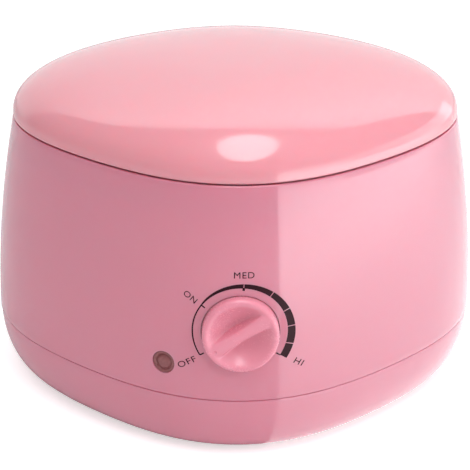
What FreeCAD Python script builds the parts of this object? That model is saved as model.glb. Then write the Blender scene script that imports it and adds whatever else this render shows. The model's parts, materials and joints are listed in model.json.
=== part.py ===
import FreeCAD, Part
import Sketcher
import math
import os

# Candle wax melter: a glossy two-piece housing with a hinged domed lid, a lift-out aluminium pot
# in a heated chamber, a rotary thermostat, an indicator lamp and a two-pin mains inlet.
# Millimetres and degrees.  +Z is up, the dial faces -Y, and Z = 0 is the table under the feet.

Vec = FreeCAD.Vector
doc = FreeCAD.newDocument("candle_wax_melter")
sheet = doc.addObject("Spreadsheet::Sheet", "Sizes")

SIZES = [
    # The outside form
    ("plan_oval", -0.057, "second harmonic of the plan: wider than deep"),
    ("plan_three", 0.020, "third harmonic of the plan: a soft corner at the front"),
    ("plan_four", 0.030, "fourth harmonic of the plan: corners on the axes"),
    ("body_y", 3.6, "plan centre behind the origin, which is the centre of the whole box"),
    ("foot_stand", 2.0, "height of the base above the table"),
    ("base_height", 25.4, "base underside to the joint with the housing"),
    ("housing_height", 83.9, "that joint to the lid's seam"),
    ("lid_height", 25.0, "seam to the top of the lid"),
    ("base_floor_ratio", 0.862, "plan of the base's flat underside, to the widest plan"),
    ("base_top_ratio", 0.997, "plan of the base at the joint"),
    ("rim_ratio", 0.906, "plan at the lid's seam"),
    ("belly_power", 1.825, "how late the housing's wall leans in"),
    ("dome_side_power", 0.820, "fullness of the lid's side"),
    ("dome_rise_power", 0.847, "fullness of the lid's rise"),
    ("shell_wall", 2.6, "wall of the housing and the base"),
    ("lid_wall", 2.5, "wall of the lid"),
    ("joint_gap", 0.4, "open groove between base and housing"),
    ("lid_gap", 0.5, "open seam under the lid"),
    # Housing
    ("deck_drop", 7.5, "housing rim down to the deck"),
    ("deck_thick", 2.6, "deck"),
    ("bead_width", 8.0, "raised ring round the pot opening"),
    ("bead_height", 1.2, "rise of that ring"),
    ("lip_thick", 1.8, "base's upstand inside the housing wall"),
    ("lip_reach", 2.3, "how far it reaches into the housing"),
    ("lip_clearance", 0.2, "upstand to the housing wall"),
    ("post_radius", 4.5, "screw posts of base and housing"),
    ("post_room", 7.3, "posts outside the heating chamber, radially"),
    ("front_post_turn", 39.2, "front posts from the front, seen from the pot axis"),
    ("rear_post_turn", 137.3, "rear posts from the front"),
    ("post_meet", 2.6, "posts meet this far above the joint"),
    ("housing_post_length", 30.0, "length of a housing post"),
    ("post_web", 3.0, "web that ties a post to the wall"),
    # Pot and chamber
    ("pot_setback", 2.0, "pot axis behind the plan centre"),
    ("pot_radius", 54.5, "pot, outside"),
    ("pot_wall", 1.2, "pot wall"),
    ("pot_depth", 63.0, "pot below its rim"),
    ("pot_corner", 7.0, "pot's outside bottom radius"),
    ("pot_rim_width", 5.1, "pot's flat rim beyond its wall"),
    ("pot_rim_thick", 1.6, "rim thickness"),
    ("pot_clearance", 1.0, "pot in the chamber, radially"),
    ("pot_seat_gap", 0.2, "rim above the chamber's edge"),
    ("pot_floor_gap", 1.0, "pot bottom above the chamber floor"),
    ("opening_clearance", 0.9, "rim in the deck opening, radially"),
    ("chamber_wall", 2.5, "heating chamber wall and floor"),
    ("flange_width", 8.0, "chamber flange"),
    ("flange_thick", 2.5, "chamber flange"),
    ("hanger_height", 4.0, "deck's bosses down to the flange"),
    ("boss_radius", 4.0, "screw bosses"),
    ("pad_height", 3.0, "bosses under the chamber floor"),
    ("pad_radius", 4.0, "those bosses"),
    ("bail_radius", 1.6, "bail wire"),
    ("bail_spread", 5.5, "bail hoop outside the deck opening, radially"),
    ("bail_corner", 5.0, "bend where the hoop turns into the ears"),
    ("bail_tail", 1.8, "ends of the bail inside its ears"),
    ("bail_rest_gap", 0.3, "bail above the raised ring"),
    ("ear_clearance", 0.1, "bail in its ears, radially"),
    ("ear_set", 2.6, "inner face of an ear inside the rim's edge"),
    ("ear_thick", 1.5, "ear plate"),
    ("ear_foot", 2.2, "tab that joins the ear to the rim"),
    ("ear_width", 11.0, "ear plate"),
    ("ear_crown", 3.4, "ear above the bail's axis"),
    # Band heater
    ("heater_drop", 10.0, "band heater below the chamber's flange"),
    ("heater_height", 24.0, "band heater"),
    ("heater_thick", 3.0, "band heater"),
    ("heater_room", 4.0, "thermostat bracket in front of the band heater"),
    ("heater_fit", 0.1, "band on the chamber, radially"),
    ("heater_split", 8.0, "gap between the band's ears"),
    ("heater_ear", 11.0, "reach of the band's ears"),
    ("heater_ear_thick", 1.5, "ears"),
    ("heater_post_angle", 24.0, "terminal posts from the ears"),
    ("heater_post_radius", 2.0, "terminal posts"),
    ("heater_post_length", 5.0, "terminal posts"),
    # Dial, knob and thermostat, measured along the dial axis from the wall
    ("dial_level", 55.6, "dial centre above the table"),
    ("knob_radius", 14.3, "knob"),
    ("knob_gap", 0.7, "knob in its well, radially"),
    ("knob_crown", 4.2, "knob's face outside the wall"),
    ("knob_round", 1.9, "rounded edge of the knob"),
    ("well_depth", 9.0, "depth of the knob's well"),
    ("well_wall", 2.5, "wall and floor of the well"),
    ("knob_lift", 1.1, "knob above the well's floor"),
    ("bowl_radius", 12.2, "finger bowl at the knob's face"),
    ("bowl_depth", 6.2, "finger bowl"),
    ("ridge_waist", 2.1, "half width of the grip ridge, middle"),
    ("ridge_end", 3.7, "half width of the grip ridge, ends"),
    ("ridge_draft", 9.0, "draft of the ridge's sides"),
    ("pointer_radius", 0.75, "pointer dimple"),
    ("pointer_place", 11.0, "pointer dimple from the dial axis"),
    ("off_angle", 32.5, "OFF below the horizontal, and HIGH too"),
    ("hub_radius", 5.2, "knob's hub"),
    ("knob_skirt", 2.0, "knob's side wall"),
    ("knob_web", 4.2, "knob's hollow stops this far below the wall"),
    ("shaft_radius", 3.0, "thermostat shaft"),
    ("shaft_flat", 2.2, "flat of the D from the shaft axis"),
    ("shaft_fit", 0.02, "shaft in the knob"),
    ("shaft_end", 3.0, "shaft ends this far inside the wall"),
    ("shaft_clearance", 0.05, "shaft in its bush, radially"),
    ("bush_radius", 4.5, "threaded bush"),
    ("bush_clearance", 0.5, "bush in the well's floor, radially"),
    ("bush_end", 10.0, "bush's outer end from the wall"),
    ("strap_place", 15.5, "front of the thermostat's top plate from the wall"),
    ("strap_thick", 1.5, "top plate"),
    ("blade_thick", 0.5, "contact blades"),
    ("upper_insulator", 2.0, "insulator between top plate and upper blade"),
    ("middle_insulator", 3.0, "insulator between the blades"),
    ("lower_insulator", 2.5, "insulator on the bracket"),
    ("insulator_radius", 4.5, "insulators"),
    ("stack_offset", 13.0, "stack's rivet from the dial axis"),
    ("rivet_radius", 1.5, "stack rivet"),
    ("rivet_head", 2.8, "stack rivet's heads"),
    ("rivet_cap", 1.0, "height of those heads"),
    ("blade_width", 6.0, "blades"),
    ("blade_reach", 9.0, "blades past the dial axis"),
    ("long_tab", 26.0, "lower blade's tab end from the dial axis"),
    ("short_tab", 21.0, "upper blade's tab end from the dial axis"),
    ("contact_radius", 1.5, "contact rivets"),
    ("contact_height", 1.1, "contact rivets"),
    ("bracket_thick", 1.5, "thermostat bracket"),
    ("bracket_side", 18.0, "bracket to the right of the dial axis"),
    ("bracket_top", 7.5, "bracket above the dial axis"),
    ("bracket_foot", 9.0, "bracket foot behind its screws"),
    ("bracket_screw_x", 8.0, "bracket screws from the centre plane"),
    ("bracket_screw_inset", 12.0, "bracket screws inside the chamber's wall"),
    # Indicator
    ("lamp_x", -28.9, "indicator from the centre plane"),
    ("lamp_drop", 14.9, "indicator below the dial centre"),
    ("lens_radius", 4.45, "indicator lens"),
    ("lens_gap", 0.08, "lens in its hole, radially"),
    ("lens_sink", 0.3, "lens face below the wall"),
    ("lens_shoulder", 2.2, "lens shoulder below the wall"),
    ("lens_flange", 5.3, "lens flange"),
    ("lens_flange_thick", 1.4, "lens flange"),
    ("lamp_boss", 7.0, "boss behind the lens"),
    ("lamp_boss_depth", 9.0, "that boss"),
    ("holder_bore", 3.0, "lamp holder's bore"),
    ("holder_length", 6.0, "lamp holder"),
    ("lamp_radius", 2.6, "neon lamp"),
    ("lamp_length", 9.0, "neon lamp"),
    # Mains inlet
    ("inlet_level", 46.0, "inlet centre above the table"),
    ("inlet_recess", 3.2, "depth of the flat the inlet sits in"),
    ("inlet_pad", 3.0, "housing thickness under the inlet"),
    ("inlet_flange_x", 39.0, "inlet flange"),
    ("inlet_flange_z", 19.0, "inlet flange"),
    ("inlet_flange_thick", 2.0, "inlet flange"),
    ("inlet_margin", 1.0, "flat round the flange"),
    ("inlet_body_x", 23.0, "inlet body"),
    ("inlet_body_z", 15.0, "inlet body"),
    ("inlet_body_depth", 16.0, "inlet body behind its flange"),
    ("inlet_fit", 0.25, "inlet body in the housing"),
    ("socket_radius", 4.5, "rounded ends of the socket"),
    ("socket_depth", 12.0, "socket below the flange's face"),
    ("pin_spacing", 8.6, "contact pins"),
    ("pin_radius", 1.2, "contact pins"),
    ("pin_length", 9.0, "contact pins in the socket"),
    ("inlet_screw_x", 15.5, "inlet screws from the inlet's centre"),
    ("tab_width", 4.8, "solder tabs"),
    ("tab_thick", 0.8, "solder tabs"),
    ("tab_length", 6.0, "solder tabs"),
    # Screws
    ("screw_radius", 1.45, "screw shanks"),
    ("screw_head", 2.8, "screw heads"),
    ("screw_cap", 2.0, "screw head height"),
    ("screw_play", 0.25, "screw in a clearance hole, radially"),
    ("base_screw_length", 20.0, "base screws under the head"),
    ("base_screw_sink", 20.0, "base screw seats above the base's underside"),
    ("chamber_screw_length", 7.5, "chamber screws"),
    ("small_screw_length", 5.0, "bracket and clip screws"),
    ("inlet_screw_length", 7.0, "inlet screws"),
    # Hinge
    ("hinge_back", 4.8, "hinge axis behind the rim"),
    ("hinge_down", 4.4, "hinge axis below the rim"),
    ("knuckle_radius", 3.8, "hinge knuckles"),
    ("lid_knuckle", 30.0, "length of the lid's knuckle"),
    ("lug_length", 7.0, "each housing lug"),
    ("knuckle_gap", 0.3, "between knuckle and lug"),
    ("hinge_pin_radius", 1.5, "hinge pin"),
    ("hinge_pin_clearance", 0.05, "pin in the lid's knuckle, radially"),
    ("hinge_pin_seat", 0.02, "pin in the lugs, radially"),
    ("rib_thick", 1.6, "locating rib under the lid"),
    ("rib_reach", 2.4, "locating rib below the lid"),
    ("rib_clearance", 0.6, "locating rib to the housing wall"),
    # Feet
    ("foot_radius", 7.0, "rubber feet"),
    ("foot_inset", 12.5, "feet inside the edge of the base's flat underside"),
    ("front_foot_turn", 61.5, "front feet from the front, seen from the plan centre"),
    ("rear_foot_turn", 121.5, "rear feet from the front"),
    ("foot_stem", 2.2, "stem of a foot"),
    ("foot_barb", 3.2, "barb of a foot"),
    ("foot_barb_height", 2.0, "barb above the base's floor"),
    ("foot_play", 0.05, "stem in its hole, radially"),
    ("vent_length", 26.0, "vent slots in the base"),
    ("vent_width", 2.5, "vent slots"),
    ("vent_pitch", 7.0, "vent slots"),
    # Terminal block, fuse and wiring
    ("block_inset", 44.0, "terminal block centre inside the housing's side"),
    ("block_y", 0.0, "terminal block centre from the plan centre"),
    ("block_length", 30.0, "terminal block along X"),
    ("block_width", 16.0, "terminal block along Y"),
    ("block_height", 14.0, "terminal block"),
    ("block_stand", 2.0, "boss under the block"),
    ("block_seat", 4.6, "fixing screw's seat below the block's top"),
    ("block_screw_length", 12.0, "block's fixing screw"),
    ("pole_pitch", 10.0, "poles of the block"),
    ("clamp_radius", 2.5, "brass clamps"),
    ("clamp_inset", 0.5, "clamps inside the block's faces"),
    ("clamp_fit", 0.05, "clamp in the block, and wire in the clamp"),
    ("wire_radius", 1.1, "mains wires"),
    ("lamp_wire_radius", 0.8, "lamp wires"),
    ("wire_entry", 3.0, "wire inside a clamp"),
    ("fuse_radius", 2.0, "thermal fuse"),
    ("fuse_length", 11.0, "thermal fuse"),
    ("fuse_lead", 0.5, "fuse leads"),
    ("fuse_lead_length", 4.0, "fuse leads"),
    ("fuse_x", 20.0, "thermal fuse centre"),
    ("fuse_y", 10.0, "thermal fuse from the pot axis"),
    ("fuse_gap", 0.2, "fuse under the chamber floor"),
    ("fuse_fit", 0.1, "fuse in its clip, radially"),
    ("clip_thick", 0.8, "fuse clip"),
    ("clip_width", 6.0, "fuse clip"),
    ("clip_screw", 8.5, "clip screw from the fuse"),
]


class Sizes:
    """Reads a named cell as a number."""

    def __getattr__(self, name):
        return float(sheet.get(name))


size = Sizes()
row = 0


def write_size(alias, value, note):
    """One row of the sheet: note, number, alias."""
    global row
    row += 1
    sheet.set("A%d" % row, note)
    sheet.set("B%d" % row, repr(float(value)))
    sheet.setAlias("B%d" % row, alias)


for alias, value, note in SIZES:
    write_size(alias, value, note)
doc.recompute()

# ---------------------------------------------------------------------------------------------
# The outside form: one plan outline, scaled level by level
# ---------------------------------------------------------------------------------------------

RING_POINTS = 36


def plan_polar(turn):
    """Radius of the unit plan and its slope, at an angle counted from the front."""
    harmonics = ((2, size.plan_oval), (3, size.plan_three), (4, size.plan_four))
    radius = 1 + sum(amount * math.cos(n * turn) for n, amount in harmonics)
    slope = -sum(n * amount * math.sin(n * turn) for n, amount in harmonics)
    return radius, slope


def housing_ratio(level):
    """The wall leans in slowly above the joint, and faster towards the rim."""
    rise = max(0.0, (level - joint_level) / size.housing_height)
    return 1 - (1 - size.rim_ratio) * rise ** size.belly_power


joint_level = size.foot_stand + size.base_height
upper_blade = size.strap_place + size.strap_thick + size.upper_insulator
lower_blade = upper_blade + size.blade_thick + size.middle_insulator
bracket_face = lower_blade + size.blade_thick + size.lower_insulator
chamber_bore = size.pot_radius + size.pot_clearance
chamber_radius = chamber_bore + size.chamber_wall
heater_bore = chamber_radius + size.heater_fit
heater_radius = heater_bore + size.heater_thick

# The front wall stands where the thermostat fits between it and the heated chamber
dial_reach = heater_radius + size.heater_room + size.bracket_thick + bracket_face
front_radius = (dial_reach - size.pot_setback) / housing_ratio(size.dial_level)
plan_scale = front_radius / plan_polar(0.0)[0]
turns = [math.pi * i / 720 for i in range(721)]
body_width = 2 * plan_scale * max(plan_polar(turn)[0] * math.sin(turn) for turn in turns)


def plan_point(turn, ratio=1.0, inset=0.0):
    """Point of the plan at a ratio of the widest outline, moved inward by inset; and its normal."""
    radius, slope = plan_polar(turn)
    along_x = slope * math.sin(turn) + radius * math.cos(turn)
    along_y = radius * math.sin(turn) - slope * math.cos(turn)
    length = math.hypot(along_x, along_y)
    normal = Vec(along_y / length, -along_x / length, 0)
    x = plan_scale * ratio * radius * math.sin(turn)
    y = -plan_scale * ratio * radius * math.cos(turn) + size.body_y
    return Vec(x, y, 0) - normal * inset, normal


def ring(level, ratio, inset=0.0):
    """Closed outline at one level."""
    points = []
    for i in range(RING_POINTS):
        point = plan_point(2 * math.pi * i / RING_POINTS, ratio, inset)[0]
        points.append(Vec(point.x, point.y, level))
    curve = Part.BSplineCurve()
    curve.interpolate(points, PeriodicFlag=True)
    return Part.Wire(curve.toShape())


def loft(rings, ruled=False):
    """Solid through rings, each given as (level, ratio, inset)."""
    return Part.makeLoft([ring(*entry) for entry in rings], True, ruled)


rim_level = joint_level + size.housing_height
housing_top = rim_level - size.lid_gap / 2
lid_under = rim_level + size.lid_gap / 2
top_level = rim_level + size.lid_height
base_inside = size.foot_stand + size.shell_wall
deck_top = housing_top - size.deck_drop
deck_under = deck_top - size.deck_thick


def base_ratio(part):
    """The base rounds in as a quarter ellipse; part runs from 0 at the floor to 1 at the joint."""
    spread = size.base_top_ratio - size.base_floor_ratio
    return size.base_floor_ratio + spread * math.sin(part * math.pi / 2)


def base_rings(top, floor, inset, count=9):
    """Rings of the rounded base between a floor level and a top level."""
    rings = []
    for i in range(count + 1):
        part = i / count
        level = floor + (top - floor) * (1 - math.cos(part * math.pi / 2))
        rings.append((level, base_ratio(part), inset))
    return rings


def dome_rings(under, rise, inset, last=86.0, count=11):
    """Rings of the lid's dome: steep at the seam, flat at the top."""
    rings = []
    for i in range(count + 1):
        angle = math.radians(last * (i / count) ** 1.15)
        ratio = size.rim_ratio * math.cos(angle) ** size.dome_side_power
        level = under + rise * math.sin(angle) ** size.dome_rise_power
        rings.append((level, ratio, inset * min(1.0, math.cos(angle) * 2)))
    return rings


def wall_rear(level):
    """Y of the housing's rear wall on the centre plane."""
    return plan_point(math.pi, housing_ratio(level))[0].y


def wall_at(x, level):
    """Point on the front wall at a given x and level, with the outward normal."""
    low, high = -math.pi / 2, math.pi / 2
    for _ in range(60):
        middle = (low + high) / 2
        if plan_point(middle, housing_ratio(level))[0].x < x:
            low = middle
        else:
            high = middle
    point, normal = plan_point(low, housing_ratio(level))
    step = 0.5
    radius = math.hypot(point.x, point.y - size.body_y)
    lean = (housing_ratio(level + step) - housing_ratio(level - step)) / (2 * step)
    lean = lean * radius / housing_ratio(level)
    outward = Vec(point.x, point.y - size.body_y, 0)
    outward.normalize()
    normal = Vec(normal.x, normal.y, -lean * outward.dot(normal))
    normal.normalize()
    return Vec(point.x, point.y, level), normal


# ---------------------------------------------------------------------------------------------
# Worked-out places, written into the sheet so that expressions can use them
# ---------------------------------------------------------------------------------------------

pot_y = size.body_y + size.pot_setback
collar_top = deck_top - size.pot_rim_thick
pot_rim_under = collar_top + size.pot_seat_gap
pot_rim_top = pot_rim_under + size.pot_rim_thick
pot_bottom = pot_rim_under - size.pot_depth
chamber_floor = pot_bottom - size.pot_floor_gap
chamber_under = chamber_floor - size.chamber_wall
pad_under = chamber_under - size.pad_height
flange_top = deck_under - size.hanger_height
flange_under = flange_top - size.flange_thick
screw_circle = chamber_radius + size.flange_width / 2
pot_rim_radius = size.pot_radius + size.pot_rim_width
opening_radius = pot_rim_radius + size.opening_clearance
ear_inset = pot_rim_radius - size.ear_set
bail_level = deck_top + size.bead_height + size.bail_rest_gap + size.bail_radius
dial_point, dial_normal = wall_at(0.0, size.dial_level)
dial_tilt = math.degrees(math.asin(dial_normal.z))
lamp_level = size.dial_level - size.lamp_drop
lamp_point, lamp_normal = wall_at(size.lamp_x, lamp_level)
well_radius = size.knob_radius + size.knob_gap
inlet_flat = wall_rear(size.inlet_level) - size.inlet_recess
hinge_y = wall_rear(rim_level) + size.hinge_back
hinge_z = housing_top - size.hinge_down
block_under = base_inside + size.block_stand
clamp_level = block_under + size.block_height * 0.45
heater_base = flange_under - size.heater_drop - size.heater_height
heater_middle = heater_base + size.heater_height / 2
fuse_level = chamber_under - size.fuse_gap - size.fuse_radius
bowl_sphere = (size.bowl_radius ** 2 + size.bowl_depth ** 2) / (2 * size.bowl_depth)
post_meet = joint_level + size.post_meet
screw_hole = size.screw_radius + size.screw_play

DERIVED = [
    ("body_width", body_width, "widest width of the housing"),
    ("pot_y", pot_y, "pot axis"),
    ("pot_rim_radius", pot_rim_radius, "pot's flat rim"),
    ("ear_inset", ear_inset, "inner face of an ear from the pot axis"),
    ("bail_end", ear_inset - size.bail_tail, "inner ends of the bail from the pot axis"),
    ("bail_reach", opening_radius + size.bail_spread, "bail hoop radius"),
    ("bracket_screw_y", size.bracket_screw_inset - chamber_radius,
     "bracket screws from the pot axis"),
    ("heater_base", heater_base, "lower edge of the band heater"),
    ("block_x", size.block_inset - body_width / 2, "terminal block centre"),
    ("chamber_bore", chamber_bore, "chamber inside radius"),
    ("chamber_radius", chamber_radius, "chamber outside radius"),
    ("collar_top", collar_top, "chamber edge that carries the pot"),
    ("pot_rim_under", pot_rim_under, "underside of the pot's rim"),
    ("pot_rim_top", pot_rim_top, "top of the pot's rim"),
    ("pot_bottom", pot_bottom, "pot bottom"),
    ("chamber_floor", chamber_floor, "chamber floor, inside"),
    ("chamber_under", chamber_under, "chamber floor, underside"),
    ("pad_under", pad_under, "bosses under the chamber"),
    ("flange_top", flange_top, "chamber flange, top"),
    ("flange_under", flange_under, "chamber flange, underside"),
    ("screw_circle", screw_circle, "chamber screws' circle"),
    ("screw_hole", screw_hole, "clearance hole of a screw"),
    ("bail_level", bail_level, "bail axis"),
    ("dial_y", dial_point.y, "dial centre on the wall"),
    ("dial_tilt", dial_tilt, "wall's lean at the dial"),
    ("upper_blade", upper_blade, "upper blade's front from the wall"),
    ("lower_blade", lower_blade, "lower blade's front from the wall"),
    ("bracket_face", bracket_face, "bracket's front from the wall"),
    ("inlet_flat", inlet_flat, "flat behind the inlet's flange"),
    ("base_inside", base_inside, "base floor, inside"),
    ("block_under", block_under, "terminal block's underside"),
    ("block_place_y", size.body_y + size.block_y, "terminal block centre"),
    ("clamp_level", clamp_level, "wire clamps of the terminal block"),
    ("heater_bore", heater_bore, "band heater, inside radius"),
    ("heater_radius", heater_radius, "band heater, outside radius"),
    ("heater_middle", heater_middle, "band heater's terminals and bolt"),
    ("heater_bolt_x", heater_radius + size.heater_ear / 2, "band heater's bolt"),
    ("ear_face", size.heater_split / 2 + size.heater_ear_thick, "outer faces of the band's ears"),
    ("fuse_level", fuse_level, "thermal fuse axis"),
    ("bowl_sphere", bowl_sphere, "sphere that cuts the finger bowl"),
    ("hinge_y", hinge_y, "hinge axis"),
    ("hinge_z", hinge_z, "hinge axis"),
]
for alias, value, note in DERIVED:
    write_size(alias, value, note)
doc.recompute()

# ---------------------------------------------------------------------------------------------
# Helpers for features bound to the sheet
# ---------------------------------------------------------------------------------------------

subparts = []


def cell(expression):
    """Names in an expression are cells of the sheet."""
    words = []
    word = ""
    for letter in str(expression) + " ":
        if letter.isalnum() or letter == "_" or letter == ".":
            word += letter
            continue
        if word and word[0].isalpha() and letter != "(":
            word = "Sizes." + word
        words.append(word + letter)
        word = ""
    return "".join(words).strip()


def new_body(label):
    body = doc.addObject("PartDesign::Body", label)
    body.Label = label
    return body


def sketch_on(body, role, name, lift="0"):
    """Sketch on one of the body's origin planes, lifted along the plane's normal."""
    sketch = body.newObject("Sketcher::SketchObject", name)
    plane = [item for item in body.Origin.OriginFeatures if item.Role == role][0]
    sketch.AttachmentSupport = [(plane, "")]
    sketch.MapMode = "FlatFace"
    sketch.setExpression(".AttachmentOffset.Base.z", cell(lift))
    return sketch


def pin_point(sketch, edge, corner, x, y):
    """Dimension one point of the sketch from the origin, by expressions."""
    for kind, expression in (("DistanceX", x), ("DistanceY", y)):
        bound = cell(expression)
        number = float(sketch.evalExpression(bound))
        place = sketch.addConstraint(Sketcher.Constraint(kind, -1, 1, edge, corner, number))
        sketch.setExpression("Constraints[%d]" % place, bound)


def outline(sketch, corners):
    """Closed outline of straight edges through corners given as pairs of expressions."""
    places = [[float(sketch.evalExpression(cell(part))) for part in corner] for corner in corners]
    first = sketch.GeometryCount
    count = len(corners)
    for i in range(count):
        start = Vec(*places[i], 0)
        end = Vec(*places[(i + 1) % count], 0)
        sketch.addGeometry(Part.LineSegment(start, end), False)
    for i in range(count):
        following = first + (i + 1) % count
        sketch.addConstraint(Sketcher.Constraint("Coincident", first + i, 2, following, 1))
    for i, corner in enumerate(corners):
        pin_point(sketch, first + i, 1, *corner)


def rectangle(sketch, left, right, low, high):
    outline(sketch, [(left, low), (right, low), (right, high), (left, high)])


def circle(sketch, x, y, radius):
    number = float(sketch.evalExpression(cell(radius)))
    edge = sketch.addGeometry(Part.Circle(Vec(0, 0, 0), Vec(0, 0, 1), number), False)
    pin_point(sketch, edge, 3, x, y)
    place = sketch.addConstraint(Sketcher.Constraint("Radius", edge, number))
    sketch.setExpression("Constraints[%d]" % place, cell(radius))


def revolve(body, name, corners):
    """Turned piece: outline in radius and height, turned about the body's Z axis."""
    sketch = sketch_on(body, "XZ_Plane", name + "_profile")
    outline(sketch, corners)
    feature = body.newObject("PartDesign::Revolution", name)
    feature.Profile = sketch
    feature.ReferenceAxis = (sketch, ["V_Axis"])
    feature.Angle = 360
    doc.recompute()
    return feature


def pad(body, sketch, name, length, down=False, both=False, draft=None):
    feature = body.newObject("PartDesign::Pad", name)
    feature.Profile = sketch
    feature.setExpression("Length", cell(length))
    feature.Reversed = down
    if both:
        feature.SideType = "Symmetric"
    if draft:
        feature.setExpression("TaperAngle", cell(draft))
    doc.recompute()
    return feature


def pocket(body, sketch, name, depth=None, up=False, both=False):
    """Cut below the sketch, or above it when up is set; without a depth, right through."""
    before = body.Shape.Volume
    feature = body.newObject("PartDesign::Pocket", name)
    feature.Profile = sketch
    feature.Reversed = up
    if both:
        feature.SideType = "Symmetric"
    if depth is None:
        feature.Type = "ThroughAll"
    else:
        feature.setExpression("Length", cell(depth))
    doc.recompute()
    if body.Shape.Volume > before - 1e-6:
        raise RuntimeError("pocket %s cuts nothing" % name)
    return feature


def polar(body, feature, name, count):
    """Repeat a feature about the body's Z axis."""
    pattern = body.newObject("PartDesign::PolarPattern", name)
    pattern.Originals = [feature]
    axis = [item for item in body.Origin.OriginFeatures if item.Role == "Z_Axis"][0]
    pattern.Axis = (axis, [""])
    pattern.Angle = 360
    pattern.Occurrences = count
    body.Tip = pattern
    doc.recompute()
    return pattern


def round_edges(body, name, radius, chosen):
    """Fillet the edges that a test picks."""
    base = body.Tip
    names = ["Edge%d" % (i + 1) for i, edge in enumerate(base.Shape.Edges) if chosen(edge)]
    feature = body.newObject("PartDesign::Fillet", name)
    feature.Base = (base, names)
    feature.setExpression("Radius", cell(radius))
    body.Tip = feature
    doc.recompute()
    return feature


def round_edge_at(radius, level):
    """Test for a circular edge of one radius at one level."""

    def chosen(edge):
        box = edge.BoundBox
        flat = box.ZLength < 1e-4 and abs(box.ZMin - level) < 1e-3
        return flat and abs(box.XMax - radius) < 1e-3

    return chosen


def corner_edge_above(level):
    """Test for straight edges along X that lie wholly above one level."""

    def chosen(edge):
        box = edge.BoundBox
        along = box.XLength > 0.1 and box.YLength < 1e-3 and box.ZLength < 1e-3
        return along and box.ZMin > level

    return chosen


def place(item, x="0", y="0", z="0", axis="1; 0; 0", angle="0"):
    """Bind an object's Placement to cells."""
    spot = "vector(%s; %s; %s)" % (cell(x), cell(y), cell(z))
    turn = "rotation(vector(%s); %s)" % (cell(axis), cell(angle))
    item.setExpression("Placement", "placement(%s; %s)" % (spot, turn))


def on_dial(item):
    """Local Z runs out of the wall along the dial axis, local X to the right."""
    place(item, "0", "dial_y", "dial_level", "1; 0; 0", "90 - dial_tilt")


def keep(item, label=None):
    """Register a finished sub-part; its label names its file."""
    if label:
        item.Label = label
    subparts.append(item)
    return item


def feature_from(label, shape, placement=None):
    """Sub-part whose shape is set directly."""
    item = doc.addObject("Part::Feature", label)
    item.Shape = shape
    if placement is not None:
        item.Placement = placement
    return keep(item)


def copies(label, item, placements):
    """Separate equal solids in one node."""
    solids = []
    for placement in placements:
        solid = item.Shape.copy()
        solid.Placement = placement
        solids.append(solid)
    return feature_from(label, Part.makeCompound(solids))


def bound_cylinder(label, radius, length, x, y, z, axis="1; 0; 0", angle="0"):
    """Part::Cylinder whose size and place are expressions."""
    item = doc.addObject("Part::Cylinder", label)
    item.setExpression("Radius", cell(radius))
    item.setExpression("Height", cell(length))
    place(item, x, y, z, axis, angle)
    return item


def bound_box(label, length, width, height, x, y, z):
    """Part::Box whose size and lowest corner are expressions."""
    item = doc.addObject("Part::Box", label)
    item.setExpression("Length", cell(length))
    item.setExpression("Width", cell(width))
    item.setExpression("Height", cell(height))
    place(item, x, y, z)
    return item


def union(label, items):
    item = doc.addObject("Part::MultiFuse", label)
    item.Shapes = items
    return item


def difference(label, base, tool):
    item = doc.addObject("Part::Cut", label)
    item.Base = base
    item.Tool = tool
    return item


def group(label, items):
    item = doc.addObject("Part::Compound", label)
    item.Links = items
    return item


def at(x, y, z, axis=None, angle=0.0):
    return FreeCAD.Placement(Vec(x, y, z), FreeCAD.Rotation(axis or Vec(1, 0, 0), angle))


def cylinder(radius, low, high, x=0.0, y=0.0):
    return Part.makeCylinder(radius, high - low, Vec(x, y, low))


def cuboid(left, right, front, back, low, high):
    return Part.makeBox(right - left, back - front, high - low, Vec(left, front, low))


def mirrored(x, y):
    return [(-x, y), (x, y)]


post_circle = chamber_radius + size.post_room + size.post_radius
post_places = []
for turn in (size.front_post_turn, size.rear_post_turn):
    angle = math.radians(turn)
    post_places += mirrored(post_circle * math.sin(angle), pot_y - post_circle * math.cos(angle))
foot_places = []
for turn in (size.front_foot_turn, size.rear_foot_turn):
    place_under = plan_point(math.radians(turn), size.base_floor_ratio, size.foot_inset)[0]
    foot_places += mirrored(place_under.x, place_under.y)
hanger_angles = [math.radians(45 + 90 * i) for i in range(4)]
hanger_places = [
    (screw_circle * math.cos(angle), pot_y + screw_circle * math.sin(angle))
    for angle in hanger_angles
]
dial_frame = at(0, dial_point.y, size.dial_level, Vec(1, 0, 0), 90 - dial_tilt)
lamp_turn = FreeCAD.Rotation(Vec(0, 0, 1), lamp_normal)
lamp_frame = FreeCAD.Placement(lamp_point, lamp_turn)


def in_frame(frame, shape):
    """Move a shape from a local frame to its place."""
    moved = shape.copy()
    moved.Placement = frame.multiply(moved.Placement)
    return moved


# ---------------------------------------------------------------------------------------------
# Upper housing
# ---------------------------------------------------------------------------------------------


def housing_rings(low, high, inset, count=9):
    levels = [low + (high - low) * i / count for i in range(count + 1)]
    return [(level, housing_ratio(level), inset) for level in levels]


def hinge_lug(side):
    """Rounded lug that carries one end of the hinge pin."""
    inner = size.lid_knuckle / 2 + size.knuckle_gap
    left = inner if side > 0 else -inner - size.lug_length
    root = wall_rear(rim_level) - size.shell_wall / 2
    arm = cuboid(left, left + size.lug_length, root, hinge_y,
                 hinge_z - size.knuckle_radius, hinge_z + size.knuckle_radius)
    eye = Part.makeCylinder(size.knuckle_radius, size.lug_length,
                            Vec(left, hinge_y, hinge_z), Vec(1, 0, 0))
    return arm.fuse(eye)


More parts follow.
